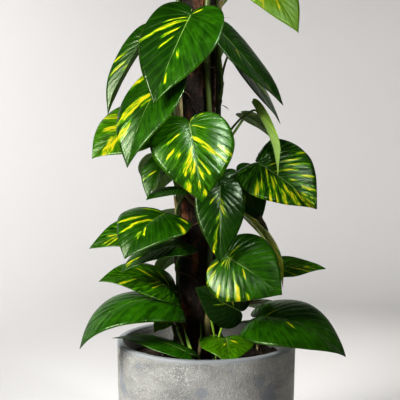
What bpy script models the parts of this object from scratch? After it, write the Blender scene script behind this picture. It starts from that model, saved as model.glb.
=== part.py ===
"""Golden pothos climbing a coir pole in a round concrete pot.

Metres, +Z up, +X to the right of the front view and -Y towards its viewer. The origin is the
centre of the pot's flat underside. The leaf rows are in centimetres, in the same frame.
"""

import math
from collections import namedtuple

import bmesh
import bpy
from mathutils import Matrix, Vector

CM = 0.01
GAP = 0.0003

POT_HEIGHT = 0.24
POT_RIM_RADIUS = 0.13
POT_FOOT_RADIUS = 0.125
POT_WALL = 0.010
POT_FLOOR = 0.016
POT_EDGE = 0.002
POT_SIDES = 48

SOIL_DEPTH = 0.030
SOIL_CROWN = 0.006
SOIL_CROWN_RADIUS = 0.050
SOIL_SHOULDER_RADIUS = 0.085
SOIL_SHOULDER_RISE = 0.4
SOIL_TOP = POT_HEIGHT - SOIL_DEPTH

POLE_X = -0.012
POLE_TOP = 0.80
STAKE_RADIUS = 0.011
STAKE_FOOT = 0.040
STAKE_PROUD = 0.006
STAKE_EDGE = 0.001
SLEEVE_RADIUS = 0.025
SLEEVE_FOOT = 0.130
SLEEVE_EDGE = 0.0015
POLE_SIDES = 32

STEM_RADIUS = 0.004
STEM_FOOT = 0.155
STEM_SHOWS = 0.214
STEM_SOIL_REACH = 0.040
STEM_LEAVES_SOIL = 0.218
STEM_MEETS_POLE = 0.262
STEM_SIDES = 7
NODE_SWELL = 1.22
NODE_HALF = 0.007
NODE_CLEAR = 0.0105
STEM_WANDER = 7.0
WANDER_RISE = 0.07
STEM_TAPER = 0.04
STEM_TIP_SHRINK = 0.6
HOLE_CLEARANCE = 0.0006
HOLE_SIDES = 12

PETIOLE_RADIUS = 0.0022
PETIOLE_TIP_RADIUS = 0.0015
MIDRIB_END_RADIUS = 0.0007
PETIOLE_SIDES = 5
PETIOLE_STEPS = 5
MIDRIB_ROWS = (0.62, 0.76)
MIDRIB_SUNK = 0.8
STALK_OUTWARDS = 0.45
STALK_UPWARDS = 0.8
STALK_ARCH = 0.55

BLADE_THICKNESS = 0.0009
HALF_UNIT_WIDTH = 0.48
LOBE_CURVE = ((0.0, 0.0), (0.03, -0.21), (0.44, -0.25), (0.48, 0.20))
SIDE_CURVE = ((0.48, 0.20), (0.51, 0.54), (0.12, 0.85), (0.0, 1.0))
LOBE_DEPTH = 0.14
WIDEST_ROW = 0.42
FAN_ROW = 0.33
MIDRIB_POWER = 1.9
VEIN_BOW = 0.05
BLADE_ROWS = (0.07, 0.20, 0.33, 0.48, 0.62, 0.76, 0.88, 1.0)
BLADE_COLUMNS = (0.0, 0.5, 1.0)
CUP = math.radians(30)

LEAF_GREEN = (0.035, 0.16, 0.02, 1.0)
CONCRETE_GREY = (0.42, 0.42, 0.41, 1.0)
COIR_BROWN = (0.07, 0.032, 0.016, 1.0)
STAKE_BROWN = (0.45, 0.30, 0.17, 1.0)
SOIL_BROWN = (0.02, 0.014, 0.010, 1.0)

Leaf = namedtuple("Leaf", "name node base tip face width bend fold curl")
Vine = namedtuple("Vine", "name turn top leaves")

# Each leaf: the height of its node on the stem, the joint of petiole and blade, the tip, the way
# the upper face looks, the width, then in degrees the droop from base to tip, the fold of each
# half and how far the lobes curl back.
LEFT_LEAVES = (
    Leaf("rim_left", 25.5, (-2.9, -8.7, 24.3), (-13.4, -3.8, 24.9), (-0.05, -0.12, 1), 4.4, 36, 4, 20),
    Leaf("pot_left_small", 24.5, (-5.2, -3.6, 28.2), (-7.4, -5, 26), (-0.4, -0.85, 0.35), 3, 20, 20, 10),
    Leaf("low_left_big", 26.5, (-4.2, -5, 30.2), (-17.3, -9, 24.6), (-0.4, -0.4, 0.85), 10.2, 102, 2, 110),
    Leaf("low_left_upper", 29, (-4.8, -3, 31.9), (-15, -6, 33.4), (-0.2, -0.5, 0.85), 8.5, 60, 12, 40),
    Leaf("left_dark_arch", 34.5, (-3.2, -4.6, 38.4), (-11.7, -8.4, 35), (-0.1, -0.2, 0.97), 7.5, 50, 8, 15),
    Leaf("left_pointed", 37, (-8, -1, 40.4), (-16.6, -3, 37.6), (-0.3, -0.6, 0.7), 6.5, 25, 15, 25),
    Leaf("left_variegated", 38.5, (-5.8, -6, 42.9), (-10.9, -11, 37.3), (-0.4, -0.75, 0.6), 11, 60, 10, 60),
    Leaf("left_lens", 42, (-3.2, -4.6, 46.2), (-8.2, -8, 44.9), (-0.25, -0.3, 0.92), 5.5, 30, 10, 20),
    Leaf("left_mid_hang", 46, (-5.6, -4, 50.2), (-8.1, -6.2, 44.9), (-0.65, -0.7, 0.3), 5.2, 25, 35, 30),
    Leaf("left_yellow", 50, (-8.6, -2, 55.9), (-15.9, -4.5, 50.4), (-0.4, -0.75, 0.55), 10.5, 30, 12, 30),
    Leaf("left_glossy", 54.5, (-6.1, -6.2, 61), (-10.5, -11, 49.4), (-0.5, -0.75, 0.45), 9.5, 35, 14, 10),
    Leaf("left_top_narrow", 60.5, (-8, -0.5, 67.4), (-13.9, -2.5, 56.4), (-0.7, -0.45, 0.5), 6.5, 20, 45, 20),
    Leaf("crown_left", 74, (-6.5, -2.5, 83.5), (-14, -5.5, 78), (-0.5, -0.5, 0.75), 9, 40, 12, 30),
)
FRONT_LEAVES = (
    Leaf("front_low_heart", 24.8, (2.8, -5, 25.3), (3.2, -10.9, 22.8), (0, -0.45, 0.9), 7.8, 45, 12, 10),
    Leaf("low_mid_dark", 26.5, (4.6, -5.4, 29.2), (-1.6, -7.5, 32.8), (-0.35, -0.85, 0.3), 6.5, 20, 12, 20),
    Leaf("mid_right_bright", 33, (2.9, -7.8, 37.1), (10.1, -10.5, 32.4), (0.1, -0.9, 0.45), 11, 25, 6, 0),
    Leaf("front_shadow", 42, (1.8, -7.2, 46.7), (1.7, -10, 36.6), (0.1, -0.95, 0.25), 6.8, 20, 14, 25),
    Leaf("front_heart", 49.5, (-2.3, -9.3, 55.2), (-0.6, -13, 45), (0.05, -0.9, 0.42), 11.3, 25, 8, 10),
    Leaf("top_big", 63.5, (-2.2, -6.6, 69.8), (-6.9, -11.8, 57.8), (-0.38, -0.9, 0.3), 11.6, 16, 16, 20),
    Leaf("crown_front", 76, (0.5, -6.5, 84.5), (0.5, -12, 77), (0.05, -0.75, 0.65), 9, 35, 12, 30),
)
RIGHT_LEAVES = (
    Leaf("low_right_big", 25.5, (7.4, -3.6, 27.9), (19.3, -7, 23), (0.2, -0.5, 0.85), 11.4, 74, 8, 15),
    Leaf("right_pointer", 30.5, (9, 0, 34.4), (17.3, -1, 34.4), (0.2, -0.6, 0.75), 4.2, 16, 15, 30),
    Leaf("right_edge_on", 38, (4.9, -2.2, 42.6), (10.8, -3.9, 32.2), (0.75, -0.25, 0.6), 5.5, 45, 25, 25),
    Leaf("right_dark_round", 42.5, (4.4, -1.6, 48.4), (7.6, -3.4, 41.4), (0.25, -0.9, 0.4), 7, 30, 10, 30),
    Leaf("right_big", 44.5, (7.4, -2.8, 49.7), (15.3, -5.3, 43.4), (0.24, -0.75, 0.62), 12.4, 24, 22, 110),
    Leaf("right_spathe", 51, (7.2, 0, 57.2), (9.9, -4.8, 48), (0.85, 0.35, 0.4), 2.6, 30, 60, 0),
    Leaf("top_right_fold", 58.5, (2.4, -3, 67.6), (10.9, -1.6, 57.8), (0.7, -0.5, 0.5), 7.5, 8, 15, 20),
    Leaf("top_right_bright", 71.5, (6.9, 0, 77), (12.8, -3, 67.8), (0.3, -0.9, 0.4), 7.8, 25, 10, 30),
)
BACK_RIGHT_LEAVES = (
    Leaf("back_right_a", 26, (6, 5.5, 28.5), (14, 11, 23.5), (0.35, 0.5, 0.8), 9, 45, 10, 30),
    Leaf("back_right_b", 31, (4, 7, 36), (7, 14, 29.5), (0.3, 0.75, 0.6), 8.5, 40, 12, 30),
    Leaf("back_right_c", 39.5, (2, 8, 45.5), (4.5, 15, 38.5), (0.25, 0.8, 0.55), 9, 35, 12, 30),
    Leaf("right_arch", 50.5, (5.8, 4, 56.6), (11.1, 5.2, 52), (0.3, 0.35, 0.9), 4.2, 35, 15, 20),
    Leaf("top_right_behind", 56.5, (4, 3, 65.6), (10.8, 2, 55.2), (0.85, -0.3, 0.45), 8.5, 8, 12, 0),
    Leaf("back_right_d", 62, (-1.5, 8.5, 69), (-2, 15, 61), (0.05, 0.8, 0.6), 9, 30, 12, 30),
    Leaf("crown_back", 75, (2.5, 5, 84.5), (7.5, 9.5, 78), (0.45, 0.5, 0.75), 9, 35, 12, 30),
)
BACK_LEFT_LEAVES = (
    Leaf("back_left_a", 26.5, (-6.5, 5.5, 30), (-13.5, 10, 24), (-0.35, 0.5, 0.8), 8.5, 45, 10, 30),
    Leaf("behind_left_pale", 31, (-4, 5, 36.5), (-7.6, 7.5, 32), (-0.5, 0.6, 0.6), 5.5, 25, 10, 20),
    Leaf("back_left_b", 36, (-3.5, 8.5, 42), (-6, 15.5, 35.5), (-0.25, 0.8, 0.55), 8.5, 35, 12, 30),
    Leaf("back_left_c", 44, (-5.5, 6.5, 50.5), (-8, 12.5, 44), (-0.3, 0.8, 0.5), 8.5, 35, 12, 30),
    Leaf("back_left_d", 52, (-3.5, 8.5, 59), (-5, 15.5, 51.5), (-0.2, 0.8, 0.6), 9.5, 30, 12, 30),
    Leaf("back_left_e", 59, (-4.5, 6.5, 66.5), (-6, 12, 59), (-0.4, 0.7, 0.6), 7.5, 30, 12, 30),
    Leaf("back_left_f", 70, (-4.5, 6.5, 83), (-7, 12.5, 77), (-0.3, 0.7, 0.65), 9, 30, 12, 30),
)

VINES = (
    Vine("vine_left", 200, 79, LEFT_LEAVES),
    Vine("vine_front", 303, 82, FRONT_LEAVES),
    Vine("vine_right", 345, 76, RIGHT_LEAVES),
    Vine("vine_back_right", 55, 81, BACK_RIGHT_LEAVES),
    Vine("vine_back_left", 130, 78, BACK_LEFT_LEAVES),
)


def clear_scene():
    for obj in list(bpy.data.objects):
        bpy.data.objects.remove(obj, do_unlink=True)


def paint(name, colour, roughness):
    """One plain Principled material."""
    material = bpy.data.materials.new(name)
    material.use_nodes = True
    shader = material.node_tree.nodes["Principled BSDF"]
    shader.inputs["Base Color"].default_value = colour
    shader.inputs["Roughness"].default_value = roughness
    return material


def place(name, bm, material=None, collection=None):
    """Turns a bmesh into an object of that name with its faces outwards."""
    bmesh.ops.recalc_face_normals(bm, faces=bm.faces)
    mesh = bpy.data.meshes.new(name)
    bm.to_mesh(mesh)
    bm.free()
    obj = bpy.data.objects.new(name, mesh)
    if material:
        mesh.materials.append(material)
    (collection or bpy.context.scene.collection).objects.link(obj)
    return obj


def turned(name, profile, sides, centre, material):
    """Spins a profile of (radius, height) points once round the vertical through centre.

    A profile that starts on the axis also ends there, and any other is a closed loop.
    """
    bm = bmesh.new()
    points = [bm.verts.new((radius, 0.0, height)) for radius, height in profile]
    pairs = list(zip(points, points[1:]))
    if profile[0][0] > 0:
        pairs.append((points[-1], points[0]))
    edges = [bm.edges.new(pair) for pair in pairs]
    bmesh.ops.spin(
        bm,
        geom=points + edges,
        axis=(0, 0, 1),
        cent=(0, 0, 0),
        steps=sides,
        angle=math.tau,
        use_merge=True,
    )
    bmesh.ops.remove_doubles(bm, verts=bm.verts, dist=1e-6)
    bmesh.ops.translate(bm, verts=bm.verts, vec=centre)
    obj = place(name, bm, material)
    obj.data.shade_smooth()
    obj.data.set_sharp_from_angle(angle=math.radians(35))
    return obj


def pot_inner_radius(height):
    """The inside of the pot's wall, which leans out as its outside does."""
    lean = (POT_RIM_RADIUS - POT_FOOT_RADIUS) / POT_HEIGHT
    return POT_FOOT_RADIUS + lean * height - POT_WALL


def build_pot(material):
    inner_rim = pot_inner_radius(POT_HEIGHT)
    profile = (
        (0.0, 0.0),
        (POT_FOOT_RADIUS - POT_EDGE, 0.0),
        (POT_FOOT_RADIUS, POT_EDGE),
        (POT_RIM_RADIUS, POT_HEIGHT - POT_EDGE),
        (POT_RIM_RADIUS - POT_EDGE, POT_HEIGHT),
        (inner_rim + POT_EDGE, POT_HEIGHT),
        (inner_rim, POT_HEIGHT - POT_EDGE),
        (pot_inner_radius(POT_FLOOR), POT_FLOOR),
        (0.0, POT_FLOOR),
    )
    return turned("pot", profile, POT_SIDES, (0, 0, 0), material)


def build_soil(material):
    """The fill, crowned towards the pole, with a plain hole for everything that stands in it."""
    floor = POT_FLOOR + GAP
    crown = SOIL_TOP + SOIL_CROWN
    profile = (
        (0.0, floor),
        (pot_inner_radius(floor) - GAP, floor),
        (pot_inner_radius(SOIL_TOP) - GAP, SOIL_TOP),
        (SOIL_SHOULDER_RADIUS, SOIL_TOP + SOIL_SHOULDER_RISE * SOIL_CROWN),
        (SOIL_CROWN_RADIUS, crown),
        (0.0, crown),
    )
    soil = turned("soil", profile, POT_SIDES, (0, 0, 0), material)
    pole = Vector((POLE_X, 0, 0))
    holes = [(pole, STAKE_FOOT, STAKE_RADIUS + GAP, POLE_SIDES)]
    holes.append((pole, SLEEVE_FOOT, SLEEVE_RADIUS + GAP, POLE_SIDES))
    for vine in VINES:
        root = stem_centre(vine, STEM_FOOT, STEM_RADIUS)
        holes.append((root, STEM_FOOT - GAP, STEM_RADIUS + HOLE_CLEARANCE, HOLE_SIDES))
    cutters = bpy.data.collections.new("soil_cutters")
    for centre, bottom, radius, sides in holes:
        bm = bmesh.new()
        top = POT_HEIGHT
        middle = Matrix.Translation((centre.x, centre.y, (bottom + top) / 2))
        bmesh.ops.create_cone(
            bm,
            cap_ends=True,
            segments=sides,
            radius1=radius,
            radius2=radius,
            depth=top - bottom,
            matrix=middle,
        )
        cutter = place("soil_cutter", bm, collection=cutters)
        cutter.hide_render = True
        cutter.display_type = "WIRE"
    merge(soil, cutters, "DIFFERENCE")


def keep_body(mesh):
    """Drops the loose scraps and the sealed pockets that joining leaves beside the main body."""
    bm = bmesh.new()
    bm.from_mesh(mesh)
    waiting = set(bm.verts)
    bodies = []
    while waiting:
        reached = [waiting.pop()]
        for vert in reached:
            near = {edge.other_vert(vert) for edge in vert.link_edges} & waiting
            waiting -= near
            reached.extend(near)
        bodies.append(reached)
    bodies.sort(key=len)
    scraps = [vert for body in bodies[:-1] for vert in body]
    bmesh.ops.delete(bm, geom=scraps, context="VERTS")
    bm.to_mesh(mesh)
    bm.free()


def merge(obj, collection, operation):
    """Applies one Boolean of the whole collection to obj, then removes the collection."""
    bpy.context.scene.collection.children.link(collection)
    boolean = obj.modifiers.new("merge", "BOOLEAN")
    boolean.operation = operation
    boolean.operand_type = "COLLECTION"
    boolean.collection = collection
    boolean.solver = "EXACT"
    graph = bpy.context.evaluated_depsgraph_get()
    result = bpy.data.meshes.new_from_object(obj.evaluated_get(graph))
    obj.modifiers.clear()
    keep_body(result)
    obj.data = result
    for piece in list(collection.objects):
        bpy.data.objects.remove(piece, do_unlink=True)
    bpy.data.collections.remove(collection)


def build_pole(wood, coir):
    """A round wooden stake with a thick coir sleeve round it."""
    centre = (POLE_X, 0, 0)
    stake_top = POLE_TOP + STAKE_PROUD
    stake = (
        (0.0, STAKE_FOOT + GAP),
        (STAKE_RADIUS, STAKE_FOOT + GAP),
        (STAKE_RADIUS, stake_top - STAKE_EDGE),
        (STAKE_RADIUS - STAKE_EDGE, stake_top),
        (0.0, stake_top),
    )
    turned("pole_stake", stake, POLE_SIDES, centre, wood)
    sleeve = (
        (STAKE_RADIUS + GAP, SLEEVE_FOOT + GAP),
        (SLEEVE_RADIUS, SLEEVE_FOOT + GAP),
        (SLEEVE_RADIUS, POLE_TOP - SLEEVE_EDGE),
        (SLEEVE_RADIUS - SLEEVE_EDGE, POLE_TOP),
        (STAKE_RADIUS + GAP, POLE_TOP),
    )
    turned("pole_coir", sleeve, POLE_SIDES, centre, coir)


def smooth(x):
    x = min(max(x, 0.0), 1.0)
    return x * x * (3 - 2 * x)


def stem_centre(vine, height, radius):
    """A point on the stem's axis: upright in the soil, then leaning in to lie against the pole."""
    against = SLEEVE_RADIUS + GAP + radius
    leaned = smooth((height - STEM_LEAVES_SOIL) / (STEM_MEETS_POLE - STEM_LEAVES_SOIL))
    reach = STEM_SOIL_REACH + (against - STEM_SOIL_REACH) * leaned
    wander = STEM_WANDER * leaned * math.sin(height / WANDER_RISE + vine.turn)
    turn = math.radians(vine.turn + wander)
    return Vector((POLE_X + reach * math.cos(turn), reach * math.sin(turn), height))


def sweep(name, points, radii, sides, collection=None, material=None):
    """A closed tube through the points, with a ring of its own radius at each."""
    bm = bmesh.new()
    turn = Vector((0, 0, 1)).rotation_difference(points[1] - points[0])
    rings = []
    for index, (point, radius) in enumerate(zip(points, radii)):
        before = points[max(index - 1, 0)]
        after = points[min(index + 1, len(points) - 1)]
        along = turn @ Vector((0, 0, 1))
        turn = along.rotation_difference(after - before) @ turn
        matrix = Matrix.Translation(point) @ turn.to_matrix().to_4x4()
        ring = bmesh.ops.create_circle(bm, segments=sides, radius=radius, matrix=matrix)["verts"]
        rings.append(list({edge for vert in ring for edge in vert.link_edges}))
    for lower, upper in zip(rings, rings[1:]):
        bmesh.ops.bridge_loops(bm, edges=lower + upper)
    for ring in (rings[0], rings[-1]):
        bmesh.ops.contextual_create(bm, geom=ring)
    bmesh.ops.triangulate(bm, faces=bm.faces)
    return place(name, bm, material, collection)


def bezier(curve, t):
    """A point of a cubic Bezier given by its four control points."""
    weights = ((1 - t) ** 3, 3 * (1 - t) ** 2 * t, 3 * (1 - t) * t**2, t**3)
    return [sum(w * point[axis] for w, point in zip(weights, curve)) for axis in (0, 1)]


def midrib_at(row):
    """How far along the midrib a row of the blade starts, as a share of its length."""
    return (max(row - FAN_ROW, 0.0) / (1 - FAN_ROW)) ** MIDRIB_POWER


def flat_blade(row, side):
    """(across, along) in unit lengths: rows fan out from the joint, as the side veins do."""
    if row < WIDEST_ROW:
        across, along = bezier(LOBE_CURVE, row / WIDEST_ROW)
    else:
        across, along = bezier(SIDE_CURVE, (row - WIDEST_ROW) / (1 - WIDEST_ROW))
    reach = abs(side)
    middle = midrib_at(row)
    along = middle + (along - middle) * reach - VEIN_BOW * reach * (1 - reach) * (1 - row)
    return across * side, along


def blade_frame(leaf):
    """The joint, the chord's direction, the way the face looks, the side and the midrib's length."""
    base = Vector(leaf.base) * CM
    chord = Vector(leaf.tip) * CM - base
    ahead = chord.normalized()
    up = Vector(leaf.face)
    up = (up - ahead * up.dot(ahead)).normalized()
    half = math.radians(leaf.bend) / 2
    return base, ahead, up, ahead.cross(up), chord.length * half / math.sin(half)


def blade_point(leaf, across, along, lift=0.0):
    """A place of the drooping, folded blade. across and along are in units of the flat blade."""
    base, ahead, up, side, length = blade_frame(leaf)
    bend = math.radians(leaf.bend)
    turning = bend if along >= 0 else bend + math.radians(leaf.curl) / LOBE_DEPTH
    radius = length / turning
    angle = bend / 2 - turning * along
    point = base + radius * ahead * (math.sin(bend / 2) - math.sin(angle))
    point += radius * up * (math.cos(angle) - math.cos(bend / 2))
    normal = up * math.cos(angle) - ahead * math.sin(angle)
    out = abs(across) / HALF_UNIT_WIDTH
    reach = out * leaf.width * CM / 2
    slope = math.radians(leaf.fold) - CUP * out / 2
    sideways = math.copysign(reach * math.cos(slope), across)
    return point + side * sideways + normal * (reach * math.sin(slope) + lift)


def build_blade(leaf, collection):
    bm = bmesh.new()
    last = len(BLADE_ROWS) - 1
    columns = len(BLADE_COLUMNS) - 1
    bmesh.ops.create_grid(bm, x_segments=2 * columns, y_segments=last, size=1)
    for vert in bm.verts:
        row = BLADE_ROWS[round((vert.co.y + 1) / 2 * last)]
        column = round(vert.co.x * columns)
        side = math.copysign(BLADE_COLUMNS[abs(column)], column)
        vert.co = blade_point(leaf, *flat_blade(row, side))
    bmesh.ops.remove_doubles(bm, verts=bm.verts, dist=1e-5)
    bmesh.ops.triangulate(bm, faces=bm.faces, quad_method="SHORT_EDGE")
    blade = place(leaf.name, bm, collection=collection)
    solidify = blade.modifiers.new("thickness", "SOLIDIFY")
    solidify.thickness = BLADE_THICKNESS
    solidify.offset = 0


def petiole_path(vine, leaf):
    """Points and radii from inside the stem, up and out, then under the blade as its midrib."""
    start = stem_centre(vine, leaf.node * CM, STEM_RADIUS)
    joint = blade_point(leaf, 0, 0, -MIDRIB_SUNK * PETIOLE_TIP_RADIUS)
    reach = (joint - start).length
    turn = math.radians(vine.turn)
    away = Vector((math.cos(turn), math.sin(turn), 0))
    towards = Vector((joint.x - start.x, joint.y - start.y, 0)).normalized()
    leave = STALK_OUTWARDS * (away + towards) + Vector((0, 0, STALK_UPWARDS))
    leave = leave.normalized() * reach
    ahead = blade_point(leaf, 0, 0.02) - blade_point(leaf, 0, 0)
    normal = blade_point(leaf, 0, 0, 1) - blade_point(leaf, 0, 0)
    arrive = (ahead.normalized() + normal).normalized() * reach * STALK_ARCH
    points = []
    radii = []
    for step in range(PETIOLE_STEPS + 1):
        t = step / PETIOLE_STEPS
        begin = 2 * t**3 - 3 * t**2 + 1
        points.append(
            begin * start
            + (1 - begin) * joint
            + (t**3 - 2 * t**2 + t) * leave
            + (t**3 - t**2) * arrive
        )
        radii.append(PETIOLE_RADIUS + (PETIOLE_TIP_RADIUS - PETIOLE_RADIUS) * t)
    for row in MIDRIB_ROWS:
        along = midrib_at(row)
        share = along / midrib_at(MIDRIB_ROWS[-1])
        radius = PETIOLE_TIP_RADIUS + (MIDRIB_END_RADIUS - PETIOLE_TIP_RADIUS) * share
        points.append(blade_point(leaf, 0, along, -MIDRIB_SUNK * radius))
        radii.append(radius)
    return points, radii


def build_stem(vine, material):
    """The stem, swollen at each node and tapering over its last stretch."""
    top = vine.top * CM
    plain = [STEM_FOOT, STEM_SHOWS, STEM_MEETS_POLE, top - STEM_TAPER, top]
    heights = {height: 1.0 for height in plain}
    for leaf in vine.leaves:
        node = leaf.node * CM
        heights = {h: swell for h, swell in heights.items() if abs(h - node) > NODE_CLEAR}
        heights.update({node - NODE_HALF: 1.0, node: NODE_SWELL, node + NODE_HALF: 1.0})
    points = []
    radii = []
    for height in sorted(heights):
        shrink = 1 - STEM_TIP_SHRINK * smooth((height - top + STEM_TAPER) / STEM_TAPER)
        radius = STEM_RADIUS * heights[height] * shrink
        points.append(stem_centre(vine, height, radius))
        radii.append(radius)
    return sweep(vine.name, points, radii, STEM_SIDES, material=material)


def build_vine(vine, material):
    pieces = bpy.data.collections.new(vine.name + "_leaves")
    for leaf in vine.leaves:
        build_blade(leaf, pieces)
        points, radii = petiole_path(vine, leaf)
        sweep(leaf.name + "_petiole", points, radii, PETIOLE_SIDES, pieces)
    stem = build_stem(vine, material)
    merge(stem, pieces, "UNION")


def main():
    clear_scene()
    build_pot(paint("concrete", CONCRETE_GREY, 0.85))
    build_soil(paint("soil", SOIL_BROWN, 0.95))
    build_pole(paint("wood", STAKE_BROWN, 0.7), paint("coir", COIR_BROWN, 0.95))
    green = paint("leaf", LEAF_GREEN, 0.35)
    for vine in VINES:
        build_vine(vine, green)


if __name__ == "__main__":
    main()
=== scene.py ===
# %% [markdown]
# # A golden pothos on a coir pole
# A climbing house plant in a round concrete pot: five leafy stems go up round a pole wrapped in
# coconut fibre. The solids of pot, soil, pole and stems are loaded as a fixed frame, in metres,
# and each cell below dresses one of them.

# %% Load the frame
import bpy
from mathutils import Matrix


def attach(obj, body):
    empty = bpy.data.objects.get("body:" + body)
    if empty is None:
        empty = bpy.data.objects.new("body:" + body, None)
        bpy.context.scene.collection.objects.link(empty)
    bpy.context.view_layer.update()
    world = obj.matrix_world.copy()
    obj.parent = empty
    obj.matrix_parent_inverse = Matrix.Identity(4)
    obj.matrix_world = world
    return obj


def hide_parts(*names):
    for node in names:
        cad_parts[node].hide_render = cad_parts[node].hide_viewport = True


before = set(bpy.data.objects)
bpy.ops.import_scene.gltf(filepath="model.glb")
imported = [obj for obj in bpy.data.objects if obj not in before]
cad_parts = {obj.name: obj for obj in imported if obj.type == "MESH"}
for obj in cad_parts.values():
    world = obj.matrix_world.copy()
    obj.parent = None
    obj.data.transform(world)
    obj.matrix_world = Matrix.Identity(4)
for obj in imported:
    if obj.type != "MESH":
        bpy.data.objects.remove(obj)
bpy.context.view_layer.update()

print("solids:", ", ".join(sorted(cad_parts)))

# %% [markdown]
# Blender's bmesh module does the modelling and bpy everything else. The solids are in metres, so
# short names for a millimetre and a centimetre keep the sizes below easy to read.

# %% Modules and units
import math
import random
from collections import namedtuple

import bmesh
import bpy
from mathutils import Vector, noise

scene = bpy.context.scene
MM = 0.001
CM = 0.01
print("Blender", bpy.app.version_string)

# %% [markdown]
# The camera stands a little over a metre in front of the plant, somewhat above the middle of its
# height, and looks slightly down through a short telephoto lens, so the pot's rim shows as a
# flat ellipse and the leaves keep their true proportions. The Standard view with some added
# contrast gives the deep greens and hard lights of a plant in a sunny room.

# %% Camera
CAMERA_LENS = 80
CAMERA_PLACE = (-0.009, -1.28, 0.548)
CAMERA_DOWN = math.radians(4.7)

camera_data = bpy.data.cameras.new("camera")
camera_data.lens = CAMERA_LENS
camera = bpy.data.objects.new("camera", camera_data)
camera.location = CAMERA_PLACE
camera.rotation_euler = (math.pi / 2 - CAMERA_DOWN, 0, 0)
scene.collection.objects.link(camera)
scene.camera = camera
scene.view_settings.view_transform = "Standard"
scene.view_settings.look = "Medium High Contrast"
print("camera at", CAMERA_PLACE)

# %% [markdown]
# Shader maths is easier to read as arithmetic than as a list of nodes. A Signal wraps one output
# socket, and adding or multiplying Signals adds the Math nodes that do it. A Finish is one
# material: its add method makes any node, sets its settings first and then fills its sockets.
# The other methods are short names for what the finishes below use most: noise, a soft step
# between two levels, a mix of two colours, and a surface with its bump.

# %% Shader arithmetic
class Signal:
    """A value that varies over a surface."""

    def __init__(self, finish, socket):
        self.finish = finish
        self.socket = socket

    def math(self, operation, *values):
        return self.finish.add("Math", {"operation": operation}, dict(enumerate(values)))

    def __add__(self, other):
        return self.math("ADD", self, other)

    def __radd__(self, other):
        return self.math("ADD", other, self)

    def __sub__(self, other):
        return self.math("SUBTRACT", self, other)

    def __rsub__(self, other):
        return self.math("SUBTRACT", other, self)

    def __mul__(self, other):
        return self.math("MULTIPLY", self, other)

    def __rmul__(self, other):
        return self.math("MULTIPLY", other, self)

    def __abs__(self):
        return self.math("ABSOLUTE", self)


class Finish:
    """A material and its nodes."""

    def __init__(self, name):
        self.material = bpy.data.materials.new(name)
        self.material.use_nodes = True
        self.tree = self.material.node_tree
        self.tree.nodes.clear()

    def add(self, kind, settings=None, inputs=None, output=0):
        node = self.tree.nodes.new("ShaderNode" + kind)
        for name, value in (settings or {}).items():
            setattr(node, name, value)
        for key, value in (inputs or {}).items():
            if isinstance(value, Signal):
                self.tree.links.new(value.socket, node.inputs[key])
            else:
                node.inputs[key].default_value = value
        return Signal(self, node.outputs[output] if node.outputs else None)

    def read(self, attribute):
        return self.add("Attribute", {"attribute_name": attribute}, output="Fac")

    def place(self):
        return self.add("TexCoord", output="Object")

    def grain(self, vector, scale, detail=3.0, roughness=0.5):
        sockets = {"Vector": vector, "Scale": scale, "Detail": detail, "Roughness": roughness}
        return self.add("TexNoise", {}, sockets, "Fac")

    def stretched(self, vector, *scale):
        return self.add("Mapping", {}, {"Vector": vector, "Scale": scale})

    def vector(self, x, y, z):
        return self.add("CombineXYZ", {}, {"X": x, "Y": y, "Z": z})

    def ramp(self, value, low, high):
        """0 below low, 1 above high, and smooth between them."""
        sockets = {"Value": value, "From Min": low, "From Max": high}
        return self.add("MapRange", {"interpolation_type": "SMOOTHSTEP"}, sockets)

    def mix(self, share, first, second):
        """A colour between first and second. Mix keeps its colour sockets at 6 and 7."""
        first = first if isinstance(first, Signal) else (*first, 1.0)
        second = second if isinstance(second, Signal) else (*second, 1.0)
        return self.add("Mix", {"data_type": "RGBA"}, {0: share, 6: first, 7: second}, 2)

    def surface(self, colour, roughness, relief=None, strength=0.0, depth=0.0, constants=None):
        """A Principled surface. relief raises it by up to depth, in metres."""
        sockets = {"Base Color": colour, "Roughness": roughness, **(constants or {})}
        if relief is not None:
            heights = {"Height": relief, "Strength": strength, "Distance": depth}
            sockets["Normal"] = self.add("Bump", {}, heights)
        return self.add("BsdfPrincipled", {}, sockets)

    def close(self, shader):
        self.add("OutputMaterial", {}, {"Surface": shader})
        print("finish:", self.material.name, len(self.tree.nodes), "nodes")


# %% [markdown]
# Every new piece goes through the same last steps: its mesh gets its finishes, it rides on the
# one body that the part has, and any solids that it replaces are hidden.

# %% Hand a piece over
def dressed(name, shape, finishes):
    """A smooth object at the origin, from a bmesh or a mesh."""
    mesh = shape
    if isinstance(shape, bmesh.types.BMesh):
        mesh = bpy.data.meshes.new(name)
        shape.to_mesh(mesh)
        shape.free()
    mesh.name = name
    mesh.materials.clear()
    for finish in finishes:
        mesh.materials.append(finish.material)
    mesh.shade_smooth()
    piece = bpy.data.objects.new(name, mesh)
    scene.collection.objects.link(piece)
    print(name, len(mesh.polygons), "faces")
    return piece


def hand_over(name, shape, finishes, slot, *nodes):
    """Makes a shape a finished piece of the part."""
    piece = dressed(name, shape, finishes)
    if nodes:
        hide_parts(*nodes)
    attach(piece, "root")
    return piece


# %% [markdown]
# The studio is a pale bowl: a flat floor that curves up into a round wall. With no corner there
# is no horizon line behind the plant, from whichever side it is seen. It is made by turning one
# profile once round the upright axis. The pot, the soil and the coir are turned in the same way,
# so the turning is a function.

# %% Studio
FLOOR_RADIUS = 1.5
COVE_RADIUS = 0.9
COVE_STEPS = 12
WALL_HEIGHT = 3.6
STUDIO_SIDES = 96
SAME_POINT = 1e-6


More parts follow.
